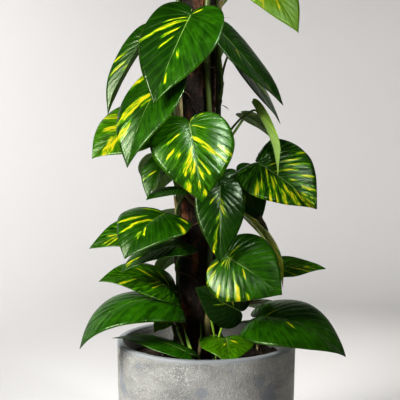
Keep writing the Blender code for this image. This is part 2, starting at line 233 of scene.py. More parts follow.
def turned(points, sides):
    """Spins (radius, height) points, the first of them on the axis, once round it."""
    shape = bmesh.new()
    row = [shape.verts.new((radius, 0, height)) for radius, height in points]
    line = [shape.edges.new(pair) for pair in zip(row, row[1:])]
    bmesh.ops.spin(
        shape,
        geom=row + line,
        axis=(0, 0, 1),
        cent=(0, 0, 0),
        steps=sides,
        angle=math.tau,
        use_merge=True,
    )
    bmesh.ops.remove_doubles(shape, verts=shape.verts, dist=SAME_POINT)
    bmesh.ops.recalc_face_normals(shape, faces=shape.faces)
    return shape


plaster = Finish("studio_plaster")
plaster.close(plaster.surface((0.6, 0.592, 0.587, 1), 0.9))
profile = [(0, 0)]
for step in range(COVE_STEPS + 1):
    angle = step / COVE_STEPS * math.pi / 2
    out = FLOOR_RADIUS + COVE_RADIUS * math.sin(angle)
    profile.append((out, COVE_RADIUS * (1 - math.cos(angle))))
profile.append((FLOOR_RADIUS + COVE_RADIUS, WALL_HEIGHT))
studio_floor = dressed("studio_floor", turned(profile, STUDIO_SIDES), [plaster])

# %% [markdown]
# The light in the room comes from a window on the left, a little in front of the plant. A big
# area lamp stands for it, so the leaves get broad soft highlights that the veins break up. A
# small high lamp on the right adds a second, narrower glint. Two lamps behind the plant light
# its back. They aren't mirrored in the leaves, because from behind they would lay a white haze
# on every blade that looks upwards. The last lamp brightens the wall.

# %% Lamps
WHITE = (1.0, 0.99, 0.96)
COOL = (0.94, 0.97, 1.0)
ROOM_LIGHT = 0.06


def lamp(name, place, target, width, watts, spread, colour, mirrored=True):
    """A square area lamp. spread is the angle of its beam in degrees."""
    data = bpy.data.lights.new(name, "AREA")
    data.shape = "SQUARE"
    data.size = width
    data.spread = math.radians(spread)
    data.energy = watts
    data.color = colour
    obj = bpy.data.objects.new(name, data)
    obj.location = place
    aim = Vector(target) - Vector(place)
    obj.rotation_euler = aim.to_track_quat("-Z", "Y").to_euler()
    obj.visible_glossy = mirrored
    scene.collection.objects.link(obj)


lamp("window", (-1.14, -1.05, 1.22), (0, 0, 0.42), 0.6, 13, 80, WHITE)
lamp("side_window", (0.6, -0.74, 1.42), (-0.03, -0.1, 0.58), 0.16, 0.42, 22, (0.88, 0.95, 1.0))
lamp("back_left", (-0.75, 0.85, 1.3), (0, 0, 0.45), 0.7, 3.0, 90, COOL, False)
lamp("back_fill", (0.75, 1.4, 1.1), (0, 0, 0.45), 1.0, 5.5, 90, (1.0, 0.97, 0.94), False)
lamp("wall_wash", (-1.7, 0.6, 1.2), (-0.45, 2.4, 0.6), 0.7, 25, 120, (1.0, 0.99, 0.985))
world = bpy.data.worlds.new("room")
world.use_nodes = True
air = world.node_tree.nodes["Background"].inputs
air["Color"].default_value = (0.95, 0.97, 1.0, 1)
air["Strength"].default_value = ROOM_LIGHT
scene.world = world
print("lamps:", len(bpy.data.lights))

# %% [markdown]
# The pot is cast concrete, 26 cm across at the rim and almost straight sided. A turned profile
# gives the form, with many rows up its wall. The cast skin is never quite even, so each point is
# then pushed in or out by a fraction of a millimetre of noise. The fine brush marks are left to
# the bump in its finish.

# %% Pot
POT_HEIGHT = 0.24
POT_RIM_RADIUS = 0.13
POT_FOOT_RADIUS = 0.125
POT_WALL = 0.01
POT_FLOOR = 0.016
POT_SIDES = 160
EDGE_ROUND = 2 * MM
EDGE_SHOULDER = 0.6 * MM
CAST_DENTS = 0.22 * MM
CAST_WAVES = 0.35 * MM


def pot_radius(height):
    return POT_FOOT_RADIUS + (POT_RIM_RADIUS - POT_FOOT_RADIUS) * height / POT_HEIGHT


def between(start, end, steps):
    """Points from start up to but not including end."""
    return [tuple(Vector(start).lerp(Vector(end), step / steps)) for step in range(steps)]


inside_rim = POT_RIM_RADIUS - POT_WALL
inside_foot = POT_FOOT_RADIUS - POT_WALL
low, top = EDGE_ROUND, POT_HEIGHT - EDGE_ROUND
outline = between((0, 0), (POT_FOOT_RADIUS - EDGE_ROUND, 0), 8)
outline += [(POT_FOOT_RADIUS - EDGE_ROUND, 0), (POT_FOOT_RADIUS - EDGE_SHOULDER, EDGE_SHOULDER)]
outline += between((POT_FOOT_RADIUS, low), (POT_RIM_RADIUS, top), 64) + [(POT_RIM_RADIUS, top)]
outline += [(POT_RIM_RADIUS - EDGE_SHOULDER, POT_HEIGHT - EDGE_SHOULDER)]
outline += between((POT_RIM_RADIUS - EDGE_ROUND, POT_HEIGHT), (inside_rim + EDGE_ROUND, POT_HEIGHT), 4)
outline += [(inside_rim + EDGE_ROUND, POT_HEIGHT), (inside_rim + EDGE_SHOULDER, POT_HEIGHT - EDGE_SHOULDER)]
outline += between((inside_rim, top), (inside_foot, POT_FLOOR), 20)
outline += between((inside_foot, POT_FLOOR), (0, POT_FLOOR), 4) + [(0, POT_FLOOR)]
pot = turned(outline, POT_SIDES)
for vert in pot.verts:
    uneven = noise.fractal(vert.co * 55, 0.8, 2.1, 4) * CAST_DENTS
    wavy = noise.noise(vert.co * 14) * CAST_WAVES
    if vert.co.z > 1 * MM:
        vert.co += vert.normal * (uneven + wavy)
print("pot:", len(pot.verts), "points")

# %% [markdown]
# Concrete is several greys at once. Over a mid grey skin with cloudy patches lie bluish blotches,
# where it dried unevenly, and a pale wash that was brushed on and half rubbed off, so only short
# curled marks of it are left. Noise that is near its middle value lies along thin curling lines,
# which draws those marks. Where a second, larger noise is high, they are worn thinner. The rim is
# a smoother, bluer band, because the mould's edge wiped it.

# %% Concrete
RIM_BAND = 4 * MM

concrete = Finish("cast_concrete")
where = concrete.place()
height = concrete.add("SeparateXYZ", {}, {"Vector": where}, "Z")
rim_band = concrete.ramp(height, POT_HEIGHT - RIM_BAND - 1.5 * MM, POT_HEIGHT - RIM_BAND + 1.0 * MM)
smeared = concrete.stretched(where, 1, 1, 2.4)
cloud = concrete.grain(smeared, 15, 4, 0.6)
blotch = concrete.ramp(concrete.grain(where, 24, 3, 0.5), 0.56, 0.65)
curls = concrete.grain(where, 370, 2, 0.5)
worn = concrete.ramp(concrete.grain(smeared, 13, 3, 0.5), 0.38, 0.62)
wash = 1 - concrete.ramp(abs(curls - 0.5) + worn * 0.025, 0.035, 0.1)
wash = wash * (1 - blotch * 0.8) * (1 - rim_band)
sandy = concrete.grain(where, 500, 4, 0.65)
skin = concrete.mix(concrete.ramp(cloud, 0.34, 0.66), (0.165, 0.17, 0.167), (0.33, 0.33, 0.315))
skin = concrete.mix(blotch * 0.75, skin, (0.16, 0.175, 0.205))
skin = concrete.mix(wash * 0.72, skin, (0.5, 0.49, 0.455))
skin = concrete.mix(rim_band * 0.75, skin, (0.185, 0.2, 0.215))
skin = concrete.mix(concrete.ramp(sandy, 0.55, 0.75) * 0.3, skin, (0.13, 0.13, 0.125))
relief = wash + sandy * (0.55 - rim_band * 0.4) + cloud * 0.4
roughness = 0.74 + sandy * 0.2 - rim_band * 0.2
concrete.close(concrete.surface(skin, roughness, relief, 0.9, 1.6 * MM))
hand_over("pot_wall", pot, [concrete], "concrete", "pot")

# %% [markdown]
# Potting soil is a dark fill with crumbs, bark and a few white grains of perlite. The bed is a
# turned surface with noise in its height. The crumbs are spheres with few faces, flattened, made
# uneven by noise and partly sunk in the bed. One in three is a larger piece of bark.

# %% Soil
SOIL_TOP = 0.21
SOIL_CROWN = 0.006
SOIL_CRUMBLE = 1.6 * MM
SOIL_GAP = 0.6 * MM
SOIL_SIDES = 144
CROWN_EDGE = 0.118
CROWN_SLOPE = 0.068
CRUMBS = 900
CRUMB_SIZES = (0.8 * MM, 1.6 * MM)
BARK_SIZES = (1.5 * MM, 3.4 * MM)
CRUMB_REACH = 0.97
CRUMB_DEPTH = 0.75
CRUMB_HEIGHT = 0.6
CRUMB_DENTS = 0.25
CRUMB_LIFT = 0.2
random.seed(11)


def soil_height(x, y):
    """The crowned top of the soil, higher near the pole, with crumbly noise."""
    out = math.hypot(x, y)
    crown = SOIL_CROWN * min(max((CROWN_EDGE - out) / CROWN_SLOPE, 0), 1)
    return SOIL_TOP + crown + noise.fractal(Vector((x, y, 0)) * 90, 0.7, 2.2, 4) * SOIL_CRUMBLE


soil_rim = pot_radius(SOIL_TOP) - POT_WALL - SOIL_GAP
soil_foot = POT_FOOT_RADIUS - POT_WALL - SOIL_GAP
bed_line = [(0, POT_FLOOR + SOIL_GAP), (soil_foot, POT_FLOOR + SOIL_GAP)]
bed_line += between((soil_rim, SOIL_TOP), (0, SOIL_TOP), 46) + [(0, SOIL_TOP)]
bed = turned(bed_line, SOIL_SIDES)
for vert in bed.verts:
    if vert.co.z > SOIL_TOP - 1 * MM:
        vert.co.z = soil_height(vert.co.x, vert.co.y)

crumbs = bmesh.new()
tone = crumbs.verts.layers.float.new("tone")
for index in range(CRUMBS):
    out = soil_rim * math.sqrt(random.random()) * CRUMB_REACH
    turn = random.uniform(0, math.tau)
    x, y = out * math.cos(turn), out * math.sin(turn)
    size = random.uniform(*(CRUMB_SIZES if index % 3 else BARK_SIZES))
    ball = bmesh.ops.create_icosphere(crumbs, subdivisions=1, radius=size)["verts"]
    shade = random.random()
    for vert in ball:
        vert[tone] = shade
        vert.co = Vector((vert.co.x, vert.co.y * CRUMB_DEPTH, vert.co.z * CRUMB_HEIGHT))
        vert.co *= 1 + CRUMB_DENTS * noise.noise(vert.co * 900 + Vector((index, 0, 0)))
        vert.co += Vector((x, y, soil_height(x, y) + CRUMB_LIFT * size))
print("crumbs:", len(crumbs.verts), "points")

# %% [markdown]
# Damp soil is nearly black, with lumps that are lighter where they dried. Each crumb keeps one
# random number at all its points. It picks the crumb's brown, and the highest few are perlite.

# %% Soil finishes
earth = Finish("potting_soil")
lumps = earth.grain(earth.place(), 160, 5, 0.7)
brown = earth.mix(earth.ramp(lumps, 0.35, 0.7), (0.01, 0.006, 0.004), (0.045, 0.026, 0.015))
earth.close(earth.surface(brown, 0.95, lumps, 0.8, 2 * MM))
crumb = Finish("bark_and_perlite")
shade = crumb.read("tone")
lumps = crumb.grain(crumb.place(), 500, 3, 0.6)
brown = crumb.mix(shade, (0.012, 0.007, 0.004), (0.075, 0.04, 0.02))
colour = crumb.mix(crumb.ramp(shade, 0.955, 0.96), brown, (0.52, 0.5, 0.46))
crumb.close(crumb.surface(colour, 0.9, lumps, 0.6, 1 * MM))
hand_over("soil_bed", bed, [earth], "soil", "soil")
hand_over("soil_crumbs", crumbs, [crumb], "soil")

# %% [markdown]
# Anything long and round, such as a fibre, a root or a leaf stalk, starts as a curve with a
# round bevel. One curve can hold thousands of strands, each with its own taper, and it is turned
# into a mesh in one step. Most strands lie round the pole, so one function gives a place by its
# angle, its distance from the pole's axis and its height.

# %% Strands
POLE_X = -0.012


def strands(name, paths, smoothness):
    """A mesh of round tubes. Each path is a list of (point, radius)."""
    curve = bpy.data.curves.new(name, "CURVE")
    curve.dimensions = "3D"
    curve.bevel_depth = 1.0
    curve.bevel_resolution = smoothness
    curve.use_fill_caps = True
    for path in paths:
        spline = curve.splines.new("POLY")
        spline.points.add(len(path) - 1)
        for knot, (point, radius) in zip(spline.points, path):
            knot.co = (*point, 1.0)
            knot.radius = radius
    holder = bpy.data.objects.new(name, curve)
    scene.collection.objects.link(holder)
    graph = bpy.context.evaluated_depsgraph_get()
    mesh = bpy.data.meshes.new_from_object(holder.evaluated_get(graph))
    bpy.data.objects.remove(holder)
    bpy.data.curves.remove(curve)
    return mesh


def round_pole(turn, out, height):
    return Vector((POLE_X + out * math.cos(turn), out * math.sin(turn), height))


# %% [markdown]
# The pole is a wooden stake in a thick sleeve of coir. Coir is matted coconut fibre, so the
# sleeve is an uneven dark core with a few thousand short strands lying over it. Two in three run
# up and down the pole and the others round it, each with a bend of its own. A few stand off it
# as hairs.

# %% Coir
SLEEVE_RADIUS = 0.025
SLEEVE_BULGE = 0.9 * MM
SLEEVE_SIDES = 72
SLEEVE_ROWS = 200
STAKE_RADIUS = 0.011
POLE_TOP = 0.8
SLEEVE_FOOT = 0.1303
FIBRES = 3400
FIBRE_STEPS = 4
HAIR_EVERY = 14
random.seed(5)


def sleeve_bulge(turn, height):
    """How far the matted surface stands out from the sleeve's mean radius."""
    around = Vector((math.cos(turn), math.sin(turn), height * 30)) * 2.2
    return noise.fractal(around, 0.9, 2.0, 3) * SLEEVE_BULGE


core_radius = SLEEVE_RADIUS - 1 * MM
core_top = POLE_TOP - 1 * MM
core_line = between((0, SLEEVE_FOOT), (core_radius, SLEEVE_FOOT), 3)
core_line += between((core_radius, SLEEVE_FOOT), (core_radius, core_top), SLEEVE_ROWS)
core_line += between((core_radius, core_top), (0, core_top), 5) + [(0, core_top)]
core = turned(core_line, SLEEVE_SIDES)
for vert in core.verts:
    out = math.hypot(vert.co.x, vert.co.y)
    if out > STAKE_RADIUS:
        turn = math.atan2(vert.co.y, vert.co.x)
        grow = (out + sleeve_bulge(turn, vert.co.z)) / out
        vert.co.x *= grow
        vert.co.y *= grow
bmesh.ops.translate(core, verts=core.verts, vec=(POLE_X, 0, 0))

fibres = []
for index in range(FIBRES):
    turn = random.uniform(0, math.tau)
    height = random.uniform(SOIL_TOP, POLE_TOP)
    heading = random.gauss(0, 0.8) + (math.pi / 2 if index % 3 else 0)
    stride = random.uniform(12, 38) * MM / FIBRE_STEPS
    bend = random.uniform(-0.5, 0.5)
    lift = random.uniform(-0.6, 1.2) * MM
    hair = random.uniform(2, 7) * MM if index % HAIR_EVERY == 0 else 0
    thick = random.uniform(0.14, 0.32) * MM
    path = []
    for step in range(FIBRE_STEPS + 1):
        share = step / FIBRE_STEPS
        out = SLEEVE_RADIUS + lift + sleeve_bulge(turn, height) + hair * share**2
        point = round_pole(turn, out, min(height, POLE_TOP - 0.5 * MM))
        path.append((point, thick * (1 - 0.5 * share)))
        turn += stride * math.cos(heading) / SLEEVE_RADIUS
        height += stride * math.sin(heading)
        heading += bend
    fibres.append(path)
print("fibres:", len(fibres))

# %% [markdown]
# The coir is nearly black, partly because it is old and partly as painted shade of the leaves
# that hang round the pole. Rust-red patches, taller than they are wide, are where fresh fibre
# shows. The core and the strands over it share those patches, so that they read as one mat, and
# the strands are lighter and flecked with straw. The stake's wood shows only at the pole's top.

# %% Coir and wood finishes
def rusty(finish, where):
    """1 in the patches where fresh fibre shows."""
    tall = finish.stretched(where, 1, 1, 0.35)
    return finish.ramp(finish.grain(tall, 42, 3, 0.6), 0.5, 0.66)


coir = Finish("matted_coir")
where = coir.place()
weave = coir.grain(where, 700, 4, 0.7)
# The near-black end of this mix is partly painted shade.
dark = coir.mix(coir.ramp(weave, 0.35, 0.7), (0.004, 0.0022, 0.0013), (0.03, 0.015, 0.008))
colour = coir.mix(rusty(coir, where) * 0.8, dark, (0.23, 0.075, 0.03))
coir.close(coir.surface(colour, 0.95, weave, 0.9, 1.5 * MM))
strand = Finish("coir_strand")
where = strand.place()
# The strands' near-black is partly painted shade as well.
colour = strand.mix(rusty(strand, where), (0.01, 0.005, 0.003), (0.25, 0.1, 0.042))
fleck = strand.ramp(strand.grain(where, 300, 2, 0.5), 0.6, 0.7)
colour = strand.mix(fleck * 0.5, colour, (0.3, 0.17, 0.08))
strand.close(strand.surface(colour, 0.75))
wood = Finish("sawn_wood")
lines = wood.grain(wood.stretched(wood.place(), 160, 160, 12), 1.0, 4, 0.6)
colour = wood.mix(wood.ramp(lines, 0.3, 0.7), (0.2, 0.12, 0.06), (0.42, 0.29, 0.16))
wood.close(wood.surface(colour, 0.75, lines, 0.4, 1 * MM))
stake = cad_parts["pole_stake"]
if not stake.material_slots:
    stake.data.materials.append(wood.material)
for slot in stake.material_slots:
    slot.material = wood.material
hand_over("coir_core", core, [coir], "coir", "pole_coir")
hand_over("coir_fibres", strands("coir_fibres", fibres, 0), [strand], "coir")

# %% [markdown]
# A pothos leaf is a heart on a stalk. Its place comes from the same row of numbers that the
# solids were made from: the node it grows from, where stalk and blade join, the tip, the way its
# face looks and the width, in centimetres, and then the droop, fold and curl in degrees. A vine
# has the direction in degrees in which it lies against the pole, and its height.

# %% Leaf table
Leaf = namedtuple("Leaf", "name node base tip face width bend fold curl")
Vine = namedtuple("Vine", "name turn top leaves")

LEFT_LEAVES = (
    Leaf("rim_left", 25.5, (-2.9, -8.7, 24.3), (-13.4, -3.8, 24.9), (-0.05, -0.12, 1), 4.4, 36, 4, 20),
    Leaf("pot_left_small", 24.5, (-5.2, -3.6, 28.2), (-7.4, -5, 26), (-0.4, -0.85, 0.35), 3, 20, 20, 10),
    Leaf("low_left_big", 26.5, (-4.2, -5, 30.2), (-17.3, -9, 24.6), (-0.4, -0.4, 0.85), 10.2, 102, 2, 110),
    Leaf("low_left_upper", 29, (-4.8, -3, 31.9), (-15, -6, 33.4), (-0.2, -0.5, 0.85), 8.5, 60, 12, 40),
    Leaf("left_dark_arch", 34.5, (-3.2, -4.6, 38.4), (-11.7, -8.4, 35), (-0.1, -0.2, 0.97), 7.5, 50, 8, 15),
    Leaf("left_pointed", 37, (-8, -1, 40.4), (-16.6, -3, 37.6), (-0.3, -0.6, 0.7), 6.5, 25, 15, 25),
    Leaf("left_variegated", 38.5, (-5.8, -6, 42.9), (-10.9, -11, 37.3), (-0.4, -0.75, 0.6), 11, 60, 10, 60),
    Leaf("left_lens", 42, (-3.2, -4.6, 46.2), (-8.2, -8, 44.9), (-0.25, -0.3, 0.92), 5.5, 30, 10, 20),
    Leaf("left_mid_hang", 46, (-5.6, -4, 50.2), (-8.1, -6.2, 44.9), (-0.65, -0.7, 0.3), 5.2, 25, 35, 30),
    Leaf("left_yellow", 50, (-8.6, -2, 55.9), (-15.9, -4.5, 50.4), (-0.4, -0.75, 0.55), 10.5, 30, 12, 30),
    Leaf("left_glossy", 54.5, (-6.1, -6.2, 61), (-10.5, -11, 49.4), (-0.5, -0.75, 0.45), 9.5, 35, 14, 10),
    Leaf("left_top_narrow", 60.5, (-8, -0.5, 67.4), (-13.9, -2.5, 56.4), (-0.7, -0.45, 0.5), 6.5, 20, 45, 20),
    Leaf("crown_left", 74, (-6.5, -2.5, 83.5), (-14, -5.5, 78), (-0.5, -0.5, 0.75), 9, 40, 12, 30),
)
FRONT_LEAVES = (
    Leaf("front_low_heart", 24.8, (2.8, -5, 25.3), (3.2, -10.9, 22.8), (0, -0.45, 0.9), 7.8, 45, 12, 10),
    Leaf("low_mid_dark", 26.5, (4.6, -5.4, 29.2), (-1.6, -7.5, 32.8), (-0.35, -0.85, 0.3), 6.5, 20, 12, 20),
    Leaf("mid_right_bright", 33, (2.9, -7.8, 37.1), (10.1, -10.5, 32.4), (0.1, -0.9, 0.45), 11, 25, 6, 0),
    Leaf("front_shadow", 42, (1.8, -7.2, 46.7), (1.7, -10, 36.6), (0.1, -0.95, 0.25), 6.8, 20, 14, 25),
    Leaf("front_heart", 49.5, (-2.3, -9.3, 55.2), (-0.6, -13, 45), (0.05, -0.9, 0.42), 11.3, 25, 8, 10),
    Leaf("top_big", 63.5, (-2.2, -6.6, 69.8), (-6.9, -11.8, 57.8), (-0.38, -0.9, 0.3), 11.6, 16, 16, 20),
    Leaf("crown_front", 76, (0.5, -6.5, 84.5), (0.5, -12, 77), (0.05, -0.75, 0.65), 9, 35, 12, 30),
)
RIGHT_LEAVES = (
    Leaf("low_right_big", 25.5, (7.4, -3.6, 27.9), (19.3, -7, 23), (0.2, -0.5, 0.85), 11.4, 74, 8, 15),
    Leaf("right_pointer", 30.5, (9, 0, 34.4), (17.3, -1, 34.4), (0.2, -0.6, 0.75), 4.2, 16, 15, 30),
    Leaf("right_edge_on", 38, (4.9, -2.2, 42.6), (10.8, -3.9, 32.2), (0.75, -0.25, 0.6), 5.5, 45, 25, 25),
    Leaf("right_dark_round", 42.5, (4.4, -1.6, 48.4), (7.6, -3.4, 41.4), (0.25, -0.9, 0.4), 7, 30, 10, 30),
    Leaf("right_big", 44.5, (7.4, -2.8, 49.7), (15.3, -5.3, 43.4), (0.24, -0.75, 0.62), 12.4, 24, 22, 110),
    Leaf("right_spathe", 51, (7.2, 0, 57.2), (9.9, -4.8, 48), (0.85, 0.35, 0.4), 2.6, 30, 60, 0),
    Leaf("top_right_fold", 58.5, (2.4, -3, 67.6), (10.9, -1.6, 57.8), (0.7, -0.5, 0.5), 7.5, 8, 15, 20),
    Leaf("top_right_bright", 71.5, (6.9, 0, 77), (12.8, -3, 67.8), (0.3, -0.9, 0.4), 7.8, 25, 10, 30),
)
BACK_RIGHT_LEAVES = (
    Leaf("back_right_a", 26, (6, 5.5, 28.5), (14, 11, 23.5), (0.35, 0.5, 0.8), 9, 45, 10, 30),
    Leaf("back_right_b", 31, (4, 7, 36), (7, 14, 29.5), (0.3, 0.75, 0.6), 8.5, 40, 12, 30),
    Leaf("back_right_c", 39.5, (2, 8, 45.5), (4.5, 15, 38.5), (0.25, 0.8, 0.55), 9, 35, 12, 30),
    Leaf("right_arch", 50.5, (5.8, 4, 56.6), (11.1, 5.2, 52), (0.3, 0.35, 0.9), 4.2, 35, 15, 20),
    Leaf("top_right_behind", 56.5, (4, 3, 65.6), (10.8, 2, 55.2), (0.85, -0.3, 0.45), 8.5, 8, 12, 0),
    Leaf("back_right_d", 62, (-1.5, 8.5, 69), (-2, 15, 61), (0.05, 0.8, 0.6), 9, 30, 12, 30),
    Leaf("crown_back", 75, (2.5, 5, 84.5), (7.5, 9.5, 78), (0.45, 0.5, 0.75), 9, 35, 12, 30),
)
BACK_LEFT_LEAVES = (
    Leaf("back_left_a", 26.5, (-6.5, 5.5, 30), (-13.5, 10, 24), (-0.35, 0.5, 0.8), 8.5, 45, 10, 30),
    Leaf("behind_left_pale", 31, (-4, 5, 36.5), (-7.6, 7.5, 32), (-0.5, 0.6, 0.6), 5.5, 25, 10, 20),
    Leaf("back_left_b", 36, (-3.5, 8.5, 42), (-6, 15.5, 35.5), (-0.25, 0.8, 0.55), 8.5, 35, 12, 30),
    Leaf("back_left_c", 44, (-5.5, 6.5, 50.5), (-8, 12.5, 44), (-0.3, 0.8, 0.5), 8.5, 35, 12, 30),
    Leaf("back_left_d", 52, (-3.5, 8.5, 59), (-5, 15.5, 51.5), (-0.2, 0.8, 0.6), 9.5, 30, 12, 30),
    Leaf("back_left_e", 59, (-4.5, 6.5, 66.5), (-6, 12, 59), (-0.4, 0.7, 0.6), 7.5, 30, 12, 30),
    Leaf("back_left_f", 70, (-4.5, 6.5, 83), (-7, 12.5, 77), (-0.3, 0.7, 0.65), 9, 30, 12, 30),
)

VINES = (
    Vine("vine_left", 200, 79, LEFT_LEAVES),
    Vine("vine_front", 303, 82, FRONT_LEAVES),
    Vine("vine_right", 345, 76, RIGHT_LEAVES),
    Vine("vine_back_right", 55, 81, BACK_RIGHT_LEAVES),
    Vine("vine_back_left", 130, 78, BACK_LEFT_LEAVES),
)
print("leaves:", sum(len(vine.leaves) for vine in VINES))

# %% [markdown]
# The flat leaf is one quarter-curve for the lobe and one for the side. Each row of the grid
# starts on the midrib and fans out along a side vein, so that a pattern drawn along the rows
# follows the veins. The blade is then bent along its length, folded and cupped across.

# %% Leaf shape
HALF_UNIT_WIDTH = 0.48
LOBE_CURVE = ((0.0, 0.0), (0.03, -0.21), (0.44, -0.25), (0.48, 0.2))
SIDE_CURVE = ((0.48, 0.2), (0.51, 0.54), (0.12, 0.85), (0.0, 1.0))
LOBE_DEPTH = 0.14
WIDEST_ROW = 0.42
FAN_ROW = 0.33
MIDRIB_POWER = 2.4
VEIN_BOW = 0.09
CUP = math.radians(30)


def bezier(curve, t):
    weights = ((1 - t) ** 3, 3 * (1 - t) ** 2 * t, 3 * (1 - t) * t**2, t**3)
    return [sum(w * point[axis] for w, point in zip(weights, curve)) for axis in (0, 1)]


def midrib_at(row):
    return (max(row - FAN_ROW, 0.0) / (1 - FAN_ROW)) ** MIDRIB_POWER


def flat_blade(row, side):
    """(across, along) in unit lengths. side runs from -1 to 1 between the margins."""
    if row < WIDEST_ROW:
        across, along = bezier(LOBE_CURVE, row / WIDEST_ROW)
    else:
        across, along = bezier(SIDE_CURVE, (row - WIDEST_ROW) / (1 - WIDEST_ROW))
    reach = abs(side)
    middle = midrib_at(row)
    along = middle + (along - middle) * reach - VEIN_BOW * reach * (1 - reach) * (1 - row)
    return across * side, along


def blade_frame(leaf):
    base = Vector(leaf.base) * CM
    chord = Vector(leaf.tip) * CM - base
    ahead = chord.normalized()
    up = Vector(leaf.face)
    up = (up - ahead * up.dot(ahead)).normalized()
    half = math.radians(leaf.bend) / 2
    return base, ahead, up, ahead.cross(up), chord.length * half / math.sin(half)


def blade_point(leaf, across, along, lift=0.0):
    """A place of the bent, folded blade, raised off it by lift."""
    base, ahead, up, side, length = blade_frame(leaf)
    bend = math.radians(leaf.bend)
    turning = bend if along >= 0 else bend + math.radians(leaf.curl) / LOBE_DEPTH
    radius = length / turning
    angle = bend / 2 - turning * along
    point = base + radius * ahead * (math.sin(bend / 2) - math.sin(angle))
    point += radius * up * (math.cos(angle) - math.cos(bend / 2))
    normal = up * math.cos(angle) - ahead * math.sin(angle)
    out = abs(across) / HALF_UNIT_WIDTH
    reach = out * leaf.width * CM / 2
    slope = math.radians(leaf.fold) - CUP * out / 2
    sideways = math.copysign(reach * math.cos(slope), across)
    return point + side * sideways + normal * (reach * math.sin(slope) + lift)


print("widest place of the flat leaf:", flat_blade(WIDEST_ROW, 1))
